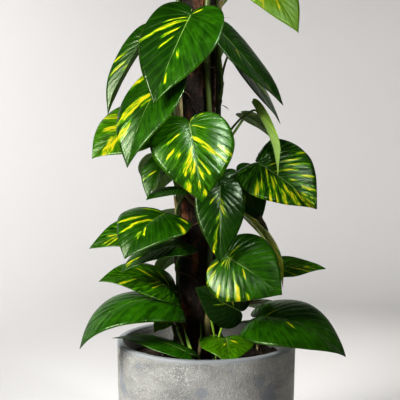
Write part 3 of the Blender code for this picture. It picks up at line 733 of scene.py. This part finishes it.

# %% [markdown]
# Golden pothos is never evenly green. Yellow runs out from the midrib along the side veins, in
# a few bold streaks and many flecks, and on each leaf differently. The bold ones are listed:
# (row, from side, to side, half width in rows). Row 0 is at the stalk and row 1 at the tip.
# Side 1 is the left margin of a leaf seen from its face, and -1 the right one. The first number
# of each leaf is how yellow it is all over.

# %% Yellow streaks
STREAKS = {
    "top_big": (
        0.06, (0.53, 0.02, 0.66, 0.021), (0.535, 0.55, 1.0, 0.009), (0.61, 0.12, 0.55, 0.008),
        (0.47, 0.1, 0.5, 0.006), (0.24, -0.4, -0.04, 0.03), (0.76, -0.45, -0.2, 0.008),
        (0.89, -0.6, -0.2, 0.01), (0.68, 0.2, 0.5, 0.006),
    ),
    "left_glossy": (
        0.08, (0.63, 0.0, 0.8, 0.034), (0.66, 0.3, 1.0, 0.022), (0.28, 0.5, 1.1, 0.06),
        (0.36, 0.7, 1.1, 0.03), (0.76, 0.55, 1.0, 0.03), (0.7, 0.0, 0.3, 0.014),
    ),
    "left_yellow": (
        0.24, (0.84, -1.0, 0.2, 0.06), (0.72, -0.2, 0.7, 0.04), (0.55, 0.3, 1.0, 0.04),
        (0.42, -0.2, 0.4, 0.03),
    ),
    "left_top_narrow": (
        0.12, (0.55, 0.55, 1.0, 0.014), (0.66, 0.45, 0.95, 0.01), (0.74, -0.5, 0.4, 0.01),
    ),
    "front_heart": (
        0.2, (0.655, -0.62, -0.03, 0.026), (0.58, -1.0, -0.66, 0.02), (0.65, -0.95, -0.55, 0.012),
        (0.12, -0.55, -0.1, 0.034), (0.2, -0.75, -0.45, 0.014), (0.45, -0.35, -0.04, 0.012),
        (0.775, 0.15, 0.68, 0.026), (0.83, 0.02, 0.55, 0.018), (0.74, 0.05, 0.35, 0.016),
        (0.86, -0.5, -0.05, 0.016), (0.8, -0.65, -0.2, 0.008), (0.84, 0.75, 1.05, 0.026),
        (0.93, -0.15, 0.35, 0.018), (0.6, 0.55, 0.8, 0.01), (0.66, 0.42, 0.66, 0.008),
        (0.52, 0.3, 0.6, 0.007), (0.93, -1.0, -0.55, 0.02),
    ),
    "front_shadow": (
        0.12, (0.7, -0.4, 0.0, 0.016), (0.64, -0.25, 0.15, 0.01), (0.56, 0.1, 0.45, 0.01),
        (0.82, 0.2, 0.7, 0.014), (0.86, 0.5, 1.0, 0.02), (0.76, -0.1, 0.4, 0.008),
    ),
    "right_big": (
        0.2, (0.6, 0.1, 1.0, 0.007), (0.54, 0.3, 1.0, 0.008), (0.645, 0.25, 1.05, 0.009),
        (0.69, 0.05, 0.6, 0.006), (0.71, 0.55, 1.05, 0.016), (0.76, 0.15, 0.85, 0.008),
        (0.8, 0.5, 1.05, 0.02), (0.86, 0.0, 0.7, 0.01), (0.9, 0.3, 1.05, 0.024),
        (0.95, -0.5, 0.8, 0.016), (0.49, 0.6, 1.05, 0.02), (0.58, -0.75, -0.1, 0.005),
        (0.64, -0.95, -0.35, 0.006), (0.68, -0.6, -0.05, 0.005), (0.74, -0.98, -0.4, 0.007),
        (0.79, -0.7, -0.1, 0.006), (0.83, -1.0, -0.5, 0.01), (0.9, -0.95, -0.2, 0.012),
        (0.52, -1.0, -0.8, 0.006),
    ),
    "left_variegated": (
        0.12, (0.62, 0.35, 0.95, 0.016), (0.4, 0.08, 0.55, 0.015), (0.71, 0.0, 0.6, 0.015),
        (0.8, -0.45, -0.05, 0.012), (0.86, -0.3, 0.2, 0.01), (0.45, -1.05, -0.65, 0.02),
        (0.36, -0.85, -0.55, 0.014), (0.74, 0.55, 0.95, 0.008),
    ),
    "left_pointed": (
        0.22, (0.86, -0.7, 0.1, 0.022), (0.78, -0.85, -0.1, 0.018), (0.7, -0.6, -0.05, 0.012),
        (0.82, 0.1, 0.6, 0.016), (0.66, 0.2, 0.75, 0.012),
    ),
    "left_dark_arch": (0.04, (0.9, -0.1, 0.8, 0.022), (0.95, -0.5, 0.3, 0.016), (0.8, 0.2, 0.6, 0.008)),
    "low_left_upper": (
        0.24, (0.7, 0.0, 0.55, 0.014), (0.6, -0.55, -0.05, 0.012), (0.66, -0.5, 0.2, 0.008),
        (0.78, -0.9, -0.45, 0.014), (0.52, 0.1, 0.5, 0.008),
    ),
    "front_low_heart": (
        0.28, (0.66, -0.6, -0.05, 0.012), (0.74, 0.05, 0.3, 0.012), (0.55, 0.1, 0.4, 0.008),
        (0.25, -1.0, -0.5, 0.05),
    ),
    "mid_right_bright": (
        0.14, (0.24, 0.45, 1.05, 0.03), (0.34, 0.6, 1.05, 0.022), (0.44, 0.7, 1.05, 0.014),
        (0.54, 0.72, 1.05, 0.014), (0.62, 0.62, 1.05, 0.018), (0.7, 0.8, 1.05, 0.012),
        (0.5, -0.12, 0.28, 0.012), (0.44, 0.04, 0.3, 0.008), (0.38, -0.45, -0.04, 0.006),
        (0.36, 0.05, 0.3, 0.008), (0.72, 0.1, 0.4, 0.006), (0.6, 0.3, 0.5, 0.005),
    ),
    "right_edge_on": (0.62, (0.6, -0.4, 0.5, 0.04), (0.45, -0.2, 1.0, 0.03)),
    "top_right_bright": (0.2, (0.62, 0.5, 1.0, 0.02), (0.8, -0.3, 0.6, 0.02), (0.5, -0.7, -0.1, 0.012)),
    "right_spathe": (0.5, (0.55, -0.5, 1.0, 0.06)),
    "pot_left_small": (0.45,),
    "right_pointer": (0.26, (0.75, 0.05, 0.9, 0.014), (0.6, 0.1, 0.9, 0.012), (0.88, -0.5, 0.5, 0.02)),
    "top_right_fold": (0.03, (0.86, 0.3, 0.7, 0.01), (0.6, 0.2, 0.5, 0.005)),
    "low_left_big": (0.03, (0.6, 0.1, 0.4, 0.005)),
    "low_right_big": (0.05, (0.55, -0.3, -0.1, 0.006), (0.7, 0.2, 0.4, 0.006)),
    "low_mid_dark": (0.08, (0.62, 0.1, 0.5, 0.012), (0.75, -0.5, -0.1, 0.01)),
    "left_lens": (0.1, (0.55, 0.1, 0.5, 0.01)),
    "left_mid_hang": (0.05, (0.7, 0.3, 0.9, 0.012)),
    "rim_left": (0.02,),
    "right_dark_round": (0.03, (0.75, 0.3, 0.6, 0.006)),
}
print("leaves with streaks of their own:", len(STREAKS))

# %% [markdown]
# The green itself differs too: dark in old leaves, fresh in young ones, and lime in the newest. A
# tone of 0 is the darkest green, 1 the freshest, and from there to 2 it turns to lime. The two
# numbers are for the left and the right half of a blade. Where they differ, the darker half is
# painted shade, for the half that folds away from the light. The lowest tones, such as those of
# low_mid_dark, right_big, front_shadow and right_dark_round, are partly the dark green of old
# leaves and partly painted shade of the leaves that lie over them. A leaf that isn't in this
# table gets one of the usual tones at random.

# %% Tones
# Unequal pairs paint shade on one half of a blade, and the lowest tones are partly painted shade.
TONES_AND_SHADE = {
    "left_yellow": (1.2, 1.2),
    "top_right_bright": (1.9, 1.9),
    "right_spathe": (2.0, 2.0),
    "pot_left_small": (1.3, 1.3),
    "left_glossy": (0.5, 0.7),
    "low_mid_dark": (0.0, 0.0),
    "right_dark_round": (0.3, 0.3),
    "right_big": (0.0, 0.0),
    "front_shadow": (0.1, 0.1),
    "left_dark_arch": (0.5, 0.5),
    "left_variegated": (0.45, 0.45),
    "left_lens": (0.4, 0.4),
    "left_pointed": (0.5, 0.5),
    "low_right_big": (1.0, 0.9),
    "top_big": (0.05, 0.75),
    "left_top_narrow": (0.3, 0.3),
    "top_right_fold": (0.2, 0.2),
    "right_pointer": (0.3, 0.3),
    "right_edge_on": (1.2, 1.2),
    "mid_right_bright": (0.75, 0.75),
    "front_heart": (0.5, 0.8),
    "front_low_heart": (1.25, 1.25),
    "behind_left_pale": (1.2, 1.2),
}
USUAL_TONES = (0.3, 0.9)
print("leaves with a tone of their own:", len(TONES_AND_SHADE))

# %% [markdown]
# For any place on a blade, two functions now give its yellowness and its tone. A streak is
# strongest along its middle, where it is cut off flat at the yellowest that a leaf gets, and it
# narrows to both of its ends. A leaf without streaks of its own gets three to nine at random,
# always the same ones, because the seed is fixed.

# %% Yellowness and tone
STREAK_PEAK = 1.3
YELLOWEST = 0.85
SCATTER_SEED = 40
SCATTER_COUNTS = (3, 5, 7, 9)
SCATTER_ROWS = (0.35, 0.92)
SCATTER_LENGTHS = (0.2, 0.5)
SCATTER_WIDTHS = (0.008, 0.028)
SCATTER_YELLOW = (0.05, 0.3)


def smooth(x):
    """Goes gently from 0 to 1 while x goes from 0 to 1, and stays there."""
    x = min(max(x, 0.0), 1.0)
    return x * x * (3 - 2 * x)


def scattered(leaf_index):
    """Streaks at random, for a leaf that has none of its own."""
    random.seed(SCATTER_SEED + leaf_index)
    marks = []
    for _ in range(random.choice(SCATTER_COUNTS)):
        start = random.uniform(-0.9, 0.5)
        end = start + random.uniform(*SCATTER_LENGTHS)
        marks.append((random.uniform(*SCATTER_ROWS), start, end, random.uniform(*SCATTER_WIDTHS)))
    return (random.uniform(*SCATTER_YELLOW), *marks)


def yellow_at(marks, row, side):
    """0 where the leaf is green, and up to 1 where it is yellow."""
    amount = marks[0]
    for centre, start, end, half in marks[1:]:
        share = (side - start) / (end - start)
        if -0.1 < share < 1.1:
            lens = max(math.sin(math.pi * (share + 0.1) / 1.2), 0.0) ** 0.6
            wander = 0.35 * half * noise.noise(Vector((share * 3, centre * 40, 0)))
            away = abs(row - centre - wander) / (half * lens + 0.002)
            amount = max(amount, min(STREAK_PEAK * math.exp(-(away**2)), YELLOWEST))
    return amount


def tone_and_shade_at(tones, side):
    """The left half's tone on one side, the right half's on the other, and soft between them. A darker half
    is painted shade.
    """
    left, right = tones
    return right + (left - right) * smooth(side * 2 + 0.5)


print("yellowness in the middle of a bold streak:", yellow_at(STREAKS["front_heart"], 0.655, -0.3))

# %% [markdown]
# One blade is a fine grid, mapped onto the leaf. The rows are a quarter of the space between two
# side veins apart, so each vein lies in a shallow groove and the leaf is slightly puffed between
# them. Its margin waves gently. Every point also keeps its row, side, yellowness and tone for the
# finish to read, and a number for the leaf, so that no two have the same flecks.

# %% Blades
VEINS = 15
ROWS_PER_VEIN = 4
FIRST_ROW = 2
COLUMNS = 12
PUFF = 0.32 * MM
GROOVE = 0.8 * MM
GROOVE_REACH = 0.07
WAVE = 1.1 * MM
WAVE_COUNTS = (1.6, 2.6)
WAVE_SHIFT = 1.3
MARGIN_DENTS = 0.02
SEED_STEP = 3.7
SAME_SPOT = 1e-5
MARKS = ("row", "side", "yellow", "tone", "seed")


def add_blade(shape, leaf, index):
    last = VEINS * ROWS_PER_VEIN
    layers = {mark: shape.verts.layers.float[mark] for mark in MARKS}
    marks = STREAKS.get(leaf.name) or scattered(index)
    random.seed(index)
    tones = TONES_AND_SHADE.get(leaf.name) or (random.uniform(*USUAL_TONES),) * 2
    phase = random.uniform(0, math.tau)
    waves = random.uniform(*WAVE_COUNTS)
    grid = bmesh.ops.create_grid(
        shape, x_segments=2 * COLUMNS, y_segments=last - FIRST_ROW, size=1
    )["verts"]
    for vert in grid:
        step = round((vert.co.y + 1) / 2 * (last - FIRST_ROW)) + FIRST_ROW
        row = step / last
        side = round(vert.co.x * COLUMNS) / COLUMNS
        reach = abs(side)
        puff = -PUFF * math.cos(step / ROWS_PER_VEIN * math.tau) * math.sin(math.pi * reach)
        groove = -GROOVE * math.exp(-((reach / GROOVE_REACH) ** 2))
        turn = waves * row * math.tau + phase + WAVE_SHIFT * (side > 0)
        wave = WAVE * reach**2 * math.sin(turn)
        across, along = flat_blade(row, side)
        across *= 1 + MARGIN_DENTS * noise.noise(Vector((row * 9, side * 2, index)))
        fade = math.sin(math.pi * row) ** 0.5 if row < 1 else 0.0
        vert.co = blade_point(leaf, across, along, (puff + groove + wave) * fade)
        yellow = yellow_at(marks, row, side)
        values = (row, side, yellow, tone_and_shade_at(tones, side), index * SEED_STEP)
        for mark, value in zip(MARKS, values):
            vert[layers[mark]] = value
    bmesh.ops.remove_doubles(shape, verts=grid, dist=SAME_SPOT)


# %% [markdown]
# The upper face is waxy: it mirrors the window in soft patches, broken into stripes by the
# veins. Its green comes from noise that is drawn out along the veins, lighter with the leaf's
# tone, so the painted shade that some tones hold darkens the green. Yellowness is multiplied by
# that same noise, and where the product is high the green turns fresh and then gold, so a streak
# frays into flecks at its edges. Light that falls on the back comes through as yellow-green,
# which the Translucent shader gives, and a leaf of low tone lets less of it through, which
# deepens the painted shade of the leaves that stand in shade.

# %% Upper face of the leaves
def vein_lines(finish, row, reach, width):
    """1 on the side veins and the midrib, 0 between them."""
    phase = row * VEINS
    to_vein = abs(phase - finish.add("Math", {"operation": "ROUND"}, {0: phase}))
    side_vein = 1 - finish.ramp(to_vein, 0.0, width)
    midrib = 1 - finish.ramp(reach, 0.008, 0.03)
    return side_vein, midrib


upper = Finish("leaf_upper_face")
row = upper.read("row")
side = upper.read("side")
seed = upper.read("seed")
tone = upper.read("tone")
yellow = upper.read("yellow")
where = upper.place()
reach = abs(side)
side_vein, midrib = vein_lines(upper, row, reach, 0.16)
bold = upper.ramp(upper.grain(upper.vector(side * 2.6, row * 42, seed), 1.0, 3, 0.6), 0.34, 0.66)
fine = upper.ramp(upper.grain(upper.vector(side * 5, row * 150, seed), 1.0, 2, 0.5), 0.32, 0.68)
mottle = upper.grain(where, 55, 3, 0.5)
# The tone sets how light the green is, painted shade included.
light = 0.1 + tone * 0.85
green = upper.mix((bold * 0.65 + fine * 0.35) * light, (0.0022, 0.015, 0.0002), (0.017, 0.08, 0.0006))
green = upper.mix(upper.ramp(mottle, 0.4, 0.7) * light * 0.45, green, (0.026, 0.11, 0.0008))
green = upper.mix(side_vein * 0.15, green, (0.04, 0.14, 0.002))
streak = yellow * (0.1 + bold * 0.75 + fine * 0.85)
green = upper.mix(upper.ramp(streak, 0.14, 0.46) * 0.8, green, (0.066, 0.2, 0.001))
lime = upper.mix(fine, (0.06, 0.15, 0.002), (0.12, 0.215, 0.003))
green = upper.mix(upper.ramp(tone, 1.0, 2.0), green, lime)
gold = upper.mix(bold * 0.6 + fine * 0.4, (0.21, 0.27, 0.002), (0.47, 0.37, 0.008))
colour = upper.mix(upper.ramp(streak, 0.46, 0.78), green, gold)
colour = upper.mix(midrib * 0.28, colour, (0.1, 0.21, 0.008))
margin = upper.ramp(reach, 0.975, 0.999)
colour = upper.mix(margin * 0.15, colour, (0.16, 0.22, 0.02))
height = fine * 0.35 + bold * 0.25 - side_vein * 0.7 - midrib * 0.5
roughness = 0.17 + mottle * 0.12 + fine * 0.04
wax = {"Specular IOR Level": 0.28, "Specular Tint": (0.86, 1.0, 0.68, 1)}
gloss = upper.surface(colour, roughness, height, 0.5, 0.5 * MM, wax)
through = upper.add("BsdfTranslucent", {}, {"Color": (0.22, 0.42, 0.01, 1)})
# Less light comes through a leaf of low tone, which adds to its painted shade.
upper.close(upper.add("MixShader", {}, {0: 0.025 + tone * 0.1, 1: gloss, 2: through}))

# %% [markdown]
# The underside is paler, greyer and matt, and its veins stand out instead of lying in grooves.
# Yellow streaks show through it faintly.

# %% Underside of the leaves
under = Finish("leaf_underside")
row = under.read("row")
reach = abs(under.read("side"))
yellow = under.read("yellow")
side_vein, midrib = vein_lines(under, row, reach, 0.2)
mottle = under.grain(under.place(), 90, 3, 0.5)
colour = under.mix(under.ramp(mottle, 0.3, 0.7), (0.065, 0.13, 0.02), (0.11, 0.2, 0.035))
colour = under.mix(under.ramp(yellow, 0.3, 0.7) * 0.7, colour, (0.3, 0.46, 0.03))
colour = under.mix(side_vein * 0.35 + midrib * 0.4, colour, (0.26, 0.36, 0.14))
matt = under.surface(colour, 0.55 + mottle * 0.1, side_vein + midrib, 0.4, 0.5 * MM)
through = under.add("BsdfTranslucent", {}, {"Color": (0.3, 0.5, 0.03, 1)})
under.close(under.add("MixShader", {}, {0: 0.14, 1: matt, 2: through}))

# %% [markdown]
# The stems lie against the coir. Each is a little thicker at its nodes, where a leaf stalk and a
# root or two grow out, and has a fine ring above each. A stalk leaves the stem upwards, arches
# over to its blade and runs on under it as the midrib. Both are lists of points and radii, which
# the strands above turn into tubes. A stalk's arch is one smooth curve, set by its two ends and
# the directions in which it leaves and arrives.

# %% Stems and stalks
STEM_RADIUS = 0.004
STEM_FOOT = SOIL_TOP - 0.02
STEM_SOIL_REACH = 0.04
STEM_LEANS_FROM = SOIL_TOP + 0.008
STEM_MEETS_POLE = 0.262
STEM_WANDER = 7.0
WANDER_RISE = 0.07
STEM_TAPER = 0.04
STEM_STEPS = 259
NODE_SWELL = 0.22
NODE_LENGTH = 4 * MM
RING_SWELL = 0.08
RING_LENGTH = 1.2 * MM
RING_ABOVE_NODE = 6 * MM
STALK_RADIUS = 0.0022
STALK_TIP_RADIUS = 0.0015
STALK_STEPS = 14
STALK_OUTWARDS = 0.45
STALK_UPWARDS = 0.8
STALK_ARCH = 0.55
SHEATH_SHARE = 0.22
MIDRIB_END_RADIUS = 0.0004
MIDRIB_STEPS = 8
MIDRIB_END_ROW = 0.95
GAP = 0.0003


def stem_centre(vine, height, radius):
    """A point on the stem's axis: upright in the soil, then leaning in to lie on the pole."""
    against = SLEEVE_RADIUS + GAP + radius
    leaned = smooth((height - STEM_LEANS_FROM) / (STEM_MEETS_POLE - STEM_LEANS_FROM))
    reach = STEM_SOIL_REACH + (against - STEM_SOIL_REACH) * leaned
    wander = STEM_WANDER * leaned * math.sin(height / WANDER_RISE + vine.turn)
    return round_pole(math.radians(vine.turn + wander), reach, height)


def stalk_path(vine, leaf):
    """Points and radii from inside the stem, up and out, then under the blade."""
    start = stem_centre(vine, leaf.node * CM, STEM_RADIUS)
    joint = blade_point(leaf, 0, 0, -0.8 * STALK_TIP_RADIUS)
    reach = (joint - start).length
    turn = math.radians(vine.turn)
    away = Vector((math.cos(turn), math.sin(turn), 0))
    towards = Vector((joint.x - start.x, joint.y - start.y, 0)).normalized()
    leave = STALK_OUTWARDS * (away + towards) + Vector((0, 0, STALK_UPWARDS))
    leave = leave.normalized() * reach
    ahead = blade_point(leaf, 0, 0.02) - blade_point(leaf, 0, 0)
    normal = blade_point(leaf, 0, 0, 1) - blade_point(leaf, 0, 0)
    arrive = (ahead.normalized() + normal).normalized() * reach * STALK_ARCH
    path = []
    for step in range(STALK_STEPS + 1):
        t = step / STALK_STEPS
        begin = 2 * t**3 - 3 * t**2 + 1
        point = begin * start + (1 - begin) * joint
        point += (t**3 - 2 * t**2 + t) * leave + (t**3 - t**2) * arrive
        sheath = 0.5 * max(1 - t / SHEATH_SHARE, 0) ** 0.7
        radius = STALK_RADIUS + (STALK_TIP_RADIUS - STALK_RADIUS) * t
        path.append((point, radius * (1 + sheath)))
    for step in range(1, MIDRIB_STEPS + 1):
        share = step / MIDRIB_STEPS
        row = FAN_ROW + (MIDRIB_END_ROW - FAN_ROW) * share
        radius = STALK_TIP_RADIUS + (MIDRIB_END_RADIUS - STALK_TIP_RADIUS) * share**0.6
        path.append((blade_point(leaf, 0, midrib_at(row), -0.9 * radius), radius))
    return path


def bulge(height, centres, length):
    """1 at each of the centres, fading to nothing within about two lengths."""
    return min(sum(math.exp(-(((height - centre) / length) ** 2)) for centre in centres), 1)


def stem_path(vine):
    """The stem from the soil to its tip, swollen at every node and ringed above it."""
    top = vine.top * CM
    nodes = [leaf.node * CM for leaf in vine.leaves]
    path = []
    for step in range(STEM_STEPS + 1):
        height = STEM_FOOT + (top - STEM_FOOT) * step / STEM_STEPS
        swell = NODE_SWELL * bulge(height, nodes, NODE_LENGTH)
        swell += RING_SWELL * bulge(height - RING_ABOVE_NODE, nodes, RING_LENGTH)
        shrink = 1 - 0.6 * smooth((height - top + STEM_TAPER) / STEM_TAPER)
        radius = STEM_RADIUS * (1 + swell) * shrink
        path.append((stem_centre(vine, height, radius), radius))
    return path


print("points in a stem:", len(stem_path(VINES[0])))

# %% [markdown]
# Stems, stalks and shoots share one kind of skin: two greens in clouds, fine lines along the
# stem, and corky brown scars, many on an old stem and few on a young stalk. Noise that is drawn
# out upwards gives the lines, because nearly everything here grows upwards.

# %% Skin of stems and stalks
def green_skin(name, dark, light, scarred):
    finish = Finish(name)
    where = finish.place()
    fine_lines = finish.grain(finish.stretched(where, 1, 1, 0.12), 420, 3, 0.6)
    cloud = finish.grain(where, 26, 3, 0.6)
    skin = finish.mix(finish.ramp(cloud, 0.35, 0.65), dark, light)
    skin = finish.mix(finish.ramp(fine_lines, 0.5, 0.75) * 0.35, skin, (0.18, 0.22, 0.04))
    scar = finish.ramp(finish.grain(where, 70, 4, 0.65), 0.6, 0.72)
    skin = finish.mix(scar * scarred, skin, (0.13, 0.075, 0.03))
    finish.close(finish.surface(skin, 0.42 + cloud * 0.15, fine_lines, 0.35, 0.5 * MM))
    return finish


# The stem's greens are near black, partly as painted shade of the leaves that hang over it.
stem_skin = green_skin("stem_skin", (0.012, 0.022, 0.004), (0.06, 0.085, 0.01), 0.9)
stalk_skin = green_skin("stalk_skin", (0.02, 0.055, 0.004), (0.11, 0.19, 0.012), 0.35)

# %% [markdown]
# Each vine is three pieces: all its blades, all its stalks, and the stem. The blades are a single
# skin until a Solidify modifier gives them their thickness, half to each side, and puts the
# second finish on the face that it adds underneath.

# %% Grow the five stems
BLADE = 0.4 * MM


def thicken(piece, thickness, back_finish=0):
    solid = piece.modifiers.new("thickness", "SOLIDIFY")
    solid.thickness = thickness
    solid.offset = 0
    solid.material_offset = back_finish


leaf_index = 0
for vine in VINES:
    blades = bmesh.new()
    for mark in MARKS:
        blades.verts.layers.float.new(mark)
    for leaf in vine.leaves:
        add_blade(blades, leaf, leaf_index)
        leaf_index += 1
    piece = hand_over(vine.name + "_blades", blades, [upper, under], "leaf", vine.name)
    thicken(piece, BLADE, 1)
    stalks = [stalk_path(vine, leaf) for leaf in vine.leaves]
    hand_over(vine.name + "_stalks", strands("stalks", stalks, 2), [stalk_skin], "leaf", vine.name)
    stem = strands("stem", [stem_path(vine)], 4)
    hand_over(vine.name + "_stem", stem, [stem_skin], "leaf", vine.name)

# %% [markdown]
# The stems hold on to the coir by short brown roots that grow from their nodes. Each creeps round
# the pole and down, tapering, and its end dips into the fibre.

# %% Roots
ROOT_STEPS = 8
ROOT_BELOW_NODE = 3 * MM
ROOT_RADIUS = 1.1 * MM
ROOT_TIP_RADIUS = 0.4 * MM
ROOT_LENGTHS = (14 * MM, 30 * MM)
ROOT_LIFT = 0.8 * MM
ROOT_DROP = 0.45
ROOT_WIGGLE = 1.2 * MM
ROOT_TURN_RADIUS = 0.022
random.seed(23)


def root_path(vine, leaf):
    turn = math.radians(vine.turn)
    aim = random.choice((-1, 1)) * random.uniform(0.5, 1.3)
    length = random.uniform(*ROOT_LENGTHS)
    path = []
    for step in range(ROOT_STEPS + 1):
        share = step / ROOT_STEPS
        hug = STEM_RADIUS * 1.6 * (1 - smooth(share * 1.6)) - 0.6 * MM * share
        level = leaf.node * CM - ROOT_BELOW_NODE - ROOT_DROP * length * share**1.3
        level += ROOT_WIGGLE * math.sin(share * 7 + turn)
        around = turn + aim * share * length / ROOT_TURN_RADIUS
        point = round_pole(around, SLEEVE_RADIUS + ROOT_LIFT + hug, level)
        path.append((point, ROOT_RADIUS + (ROOT_TIP_RADIUS - ROOT_RADIUS) * share))
    return path


roots = []
for vine in VINES:
    for leaf in vine.leaves:
        roots += [root_path(vine, leaf) for _ in range(random.choice((1, 2)))]
print("roots:", len(roots))
root_skin = Finish("root_skin")
rough = root_skin.grain(root_skin.place(), 350, 3, 0.6)
colour = root_skin.mix(rough, (0.05, 0.026, 0.012), (0.19, 0.11, 0.052))
root_skin.close(root_skin.surface(colour, 0.8, rough, 0.6, 1 * MM))
hand_over("climbing_roots", strands("roots", roots, 1), [root_skin], "leaf")

# %% [markdown]
# Every new leaf of a climber unrolls from a thin sheath, which dries, turns tan and stays on the
# stem for a while. A sheath is a narrow grid wrapped round its own axis and drawn to a point, with
# noise for its crinkles. The few that the plant shows in front are listed one by one, together
# with the withered scraps of old leaves, and the others follow the nodes of the stems.

# %% Sheaths and withered scraps
Sheath = namedtuple("Sheath", "foot tip out width wrap dry")
SHEATH_COLUMNS = 8
SHEATH_ROWS = 12
SHEATH_CRINKLE = 0.7 * MM
SHEATH_THICKNESS = 0.3 * MM
SHEATHS = [
    Sheath((-3.9, -3.5, 59.3), (-3.3, -3.6, 54.8), (-0.3, -1, 0), 0.9, 95, 0.75),
    Sheath((-3.9, -3.7, 46.6), (-1.5, -3.7, 43.5), (0.1, -1, 0), 0.7, 90, 0.7),
    Sheath((-0.7, -4.8, 25.0), (-1.2, -6.0, 22.4), (0, -1, 0.2), 0.7, 80, 0.9),
    Sheath((7.1, -6.4, 25.6), (6.9, -7.4, 23.9), (0.2, -1, 0.1), 0.9, 50, 0.55),
    Sheath((5.6, -4.4, 30.3), (8.0, -4.6, 30.0), (0, -0.8, 0.6), 0.8, 80, 0.15),
    Sheath((7.3, -3.7, 42.3), (8.6, -3.9, 40.2), (0.3, -1, 0), 0.8, 110, 0.1),
]
random.seed(31)
for vine in VINES:
    for leaf in vine.leaves:
        foot = stem_centre(vine, leaf.node * CM + 0.002, STEM_RADIUS) / CM
        turn = math.radians(vine.turn + random.uniform(-50, 50))
        out = Vector((math.cos(turn), math.sin(turn), 0.1))
        tip = foot + 0.5 * out + Vector((0, 0, random.uniform(1.6, 3.2)))
        wrap = random.uniform(70, 120)
        SHEATHS.append(Sheath(foot, tip, out, random.uniform(0.8, 1.0), wrap, random.random()))


def add_sheath(shape, sheath, index):
    foot = Vector(sheath.foot) * CM
    ahead = Vector(sheath.tip) * CM - foot
    out = Vector(sheath.out)
    out = (out - ahead * out.dot(ahead) / ahead.length_squared).normalized()
    side = ahead.normalized().cross(out)
    dry = shape.verts.layers.float["dry"]
    grid = bmesh.ops.create_grid(
        shape, x_segments=SHEATH_COLUMNS, y_segments=SHEATH_ROWS, size=1
    )["verts"]
    for vert in grid:
        share = (vert.co.y + 1) / 2
        turn = vert.co.x * math.radians(sheath.wrap) * (1 - share**2.5)
        radius = sheath.width * CM / 2 * (1 - 0.35 * share)
        place = foot + ahead * share + radius * (out * math.cos(turn) + side * math.sin(turn))
        crinkle = noise.noise_vector(Vector((vert.co.x * 2.5, share * 5, index * 7)))
        vert.co = place + crinkle * SHEATH_CRINKLE
        vert[dry] = sheath.dry
    bmesh.ops.remove_doubles(shape, verts=grid, dist=SAME_SPOT)


sheaths = bmesh.new()
sheaths.verts.layers.float.new("dry")
for index, sheath in enumerate(SHEATHS):
    add_sheath(sheaths, sheath, index)
paper = Finish("dry_sheath")
streaky = paper.grain(paper.stretched(paper.place(), 1, 1, 0.15), 650, 3, 0.6)
streaky = paper.ramp(streaky, 0.35, 0.65)
colour = paper.mix(paper.read("dry"), (0.03, 0.036, 0.01), (0.3, 0.235, 0.095))
colour = paper.mix(streaky * 0.55, colour, (0.075, 0.05, 0.018))
paper.close(paper.surface(colour, 0.6, streaky, 0.5, 0.6 * MM))
thicken(hand_over("dry_sheaths", sheaths, [paper], "leaf"), SHEATH_THICKNESS)

# %% [markdown]
# Four young shoots come up in front of the pole. Each is a leaf still rolled into a spike on its
# stalk: pale, thick in the middle and pointed. A forked, broken twig and a loose hair of coir
# stick out on the right near the top, and the stub of another twig lower down. All of them follow
# the smooth curve that passes through four points, which are given in centimetres.

# %% Shoots and twigs
Shoot = namedtuple("Shoot", "points thick")
SHOOTS = (
    Shoot(((-1.5, -8.0, 21.0), (-1.8, -7.6, 22.9), (-2.5, -6.4, 24.8), (-3.3, -4.9, 27.2)), 2.5),
    Shoot(((1.4, -5.0, 21.0), (1.1, -5.0, 25.6), (0.6, -5.0, 28.2), (0.3, -4.8, 31.0)), 1.8),
    Shoot(((1.2, -5.2, 21.0), (1.7, -5.3, 25.2), (2.3, -5.3, 27.0), (3.1, -5.0, 29.0)), 1.8),
    Shoot(((-0.9, -5.4, 21.0), (-0.9, -5.4, 23.4), (-0.8, -5.2, 25.2), (-0.8, -4.9, 27.4)), 1.5),
)
TWIGS = (
    Shoot(((1.4, -2.2, 69.6), (1.8, -2.8, 70.8), (2.2, -3.2, 71.6), (2.6, -3.6, 72.7)), 0.9),
    Shoot(((2.0, -3.0, 71.2), (2.0, -3.3, 71.9), (2.2, -3.4, 72.3), (2.2, -3.6, 72.8)), 0.6),
    Shoot(((1.4, -2.4, 69.8), (2.2, -2.8, 69.9), (3.0, -3.0, 69.9), (3.9, -3.1, 69.6)), 0.18),
    Shoot(((2.2, -1.4, 57.9), (2.6, -1.6, 57.7), (2.9, -1.7, 57.5), (3.2, -1.8, 57.1)), 0.7),
)
POINTS_AT = (0, 1 / 3, 2 / 3, 1)
SPINDLE_STEPS = 16


def place_at(points, t):
    """Where the smooth curve through four points is at t, from 0 to 1."""
    place = Vector()
    for point, at in zip(points, POINTS_AT):
        weight = 1.0
        for other in POINTS_AT:
            if other != at:
                weight *= (t - other) / (at - other)
        place += Vector(point) * CM * weight
    return place


def spindle(shoot):
    """Thickest a little above the middle, and pointed at the tip."""
    path = []
    for step in range(SPINDLE_STEPS + 1):
        t = step / SPINDLE_STEPS
        thick = shoot.thick * MM * (0.55 + 0.45 * smooth(t * 1.8))
        thick *= 1 - 0.93 * smooth((t - 0.62) / 0.4)
        path.append((place_at(shoot.points, t), thick))
    return path


young = green_skin("young_shoot", (0.07, 0.17, 0.008), (0.2, 0.33, 0.02), 0.1)
for name, group, rounding, skin in (("young_shoots", SHOOTS, 3, young), ("twigs", TWIGS, 1, root_skin)):
    hand_over(name, strands(name, [spindle(each) for each in group], rounding), [skin], "leaf")
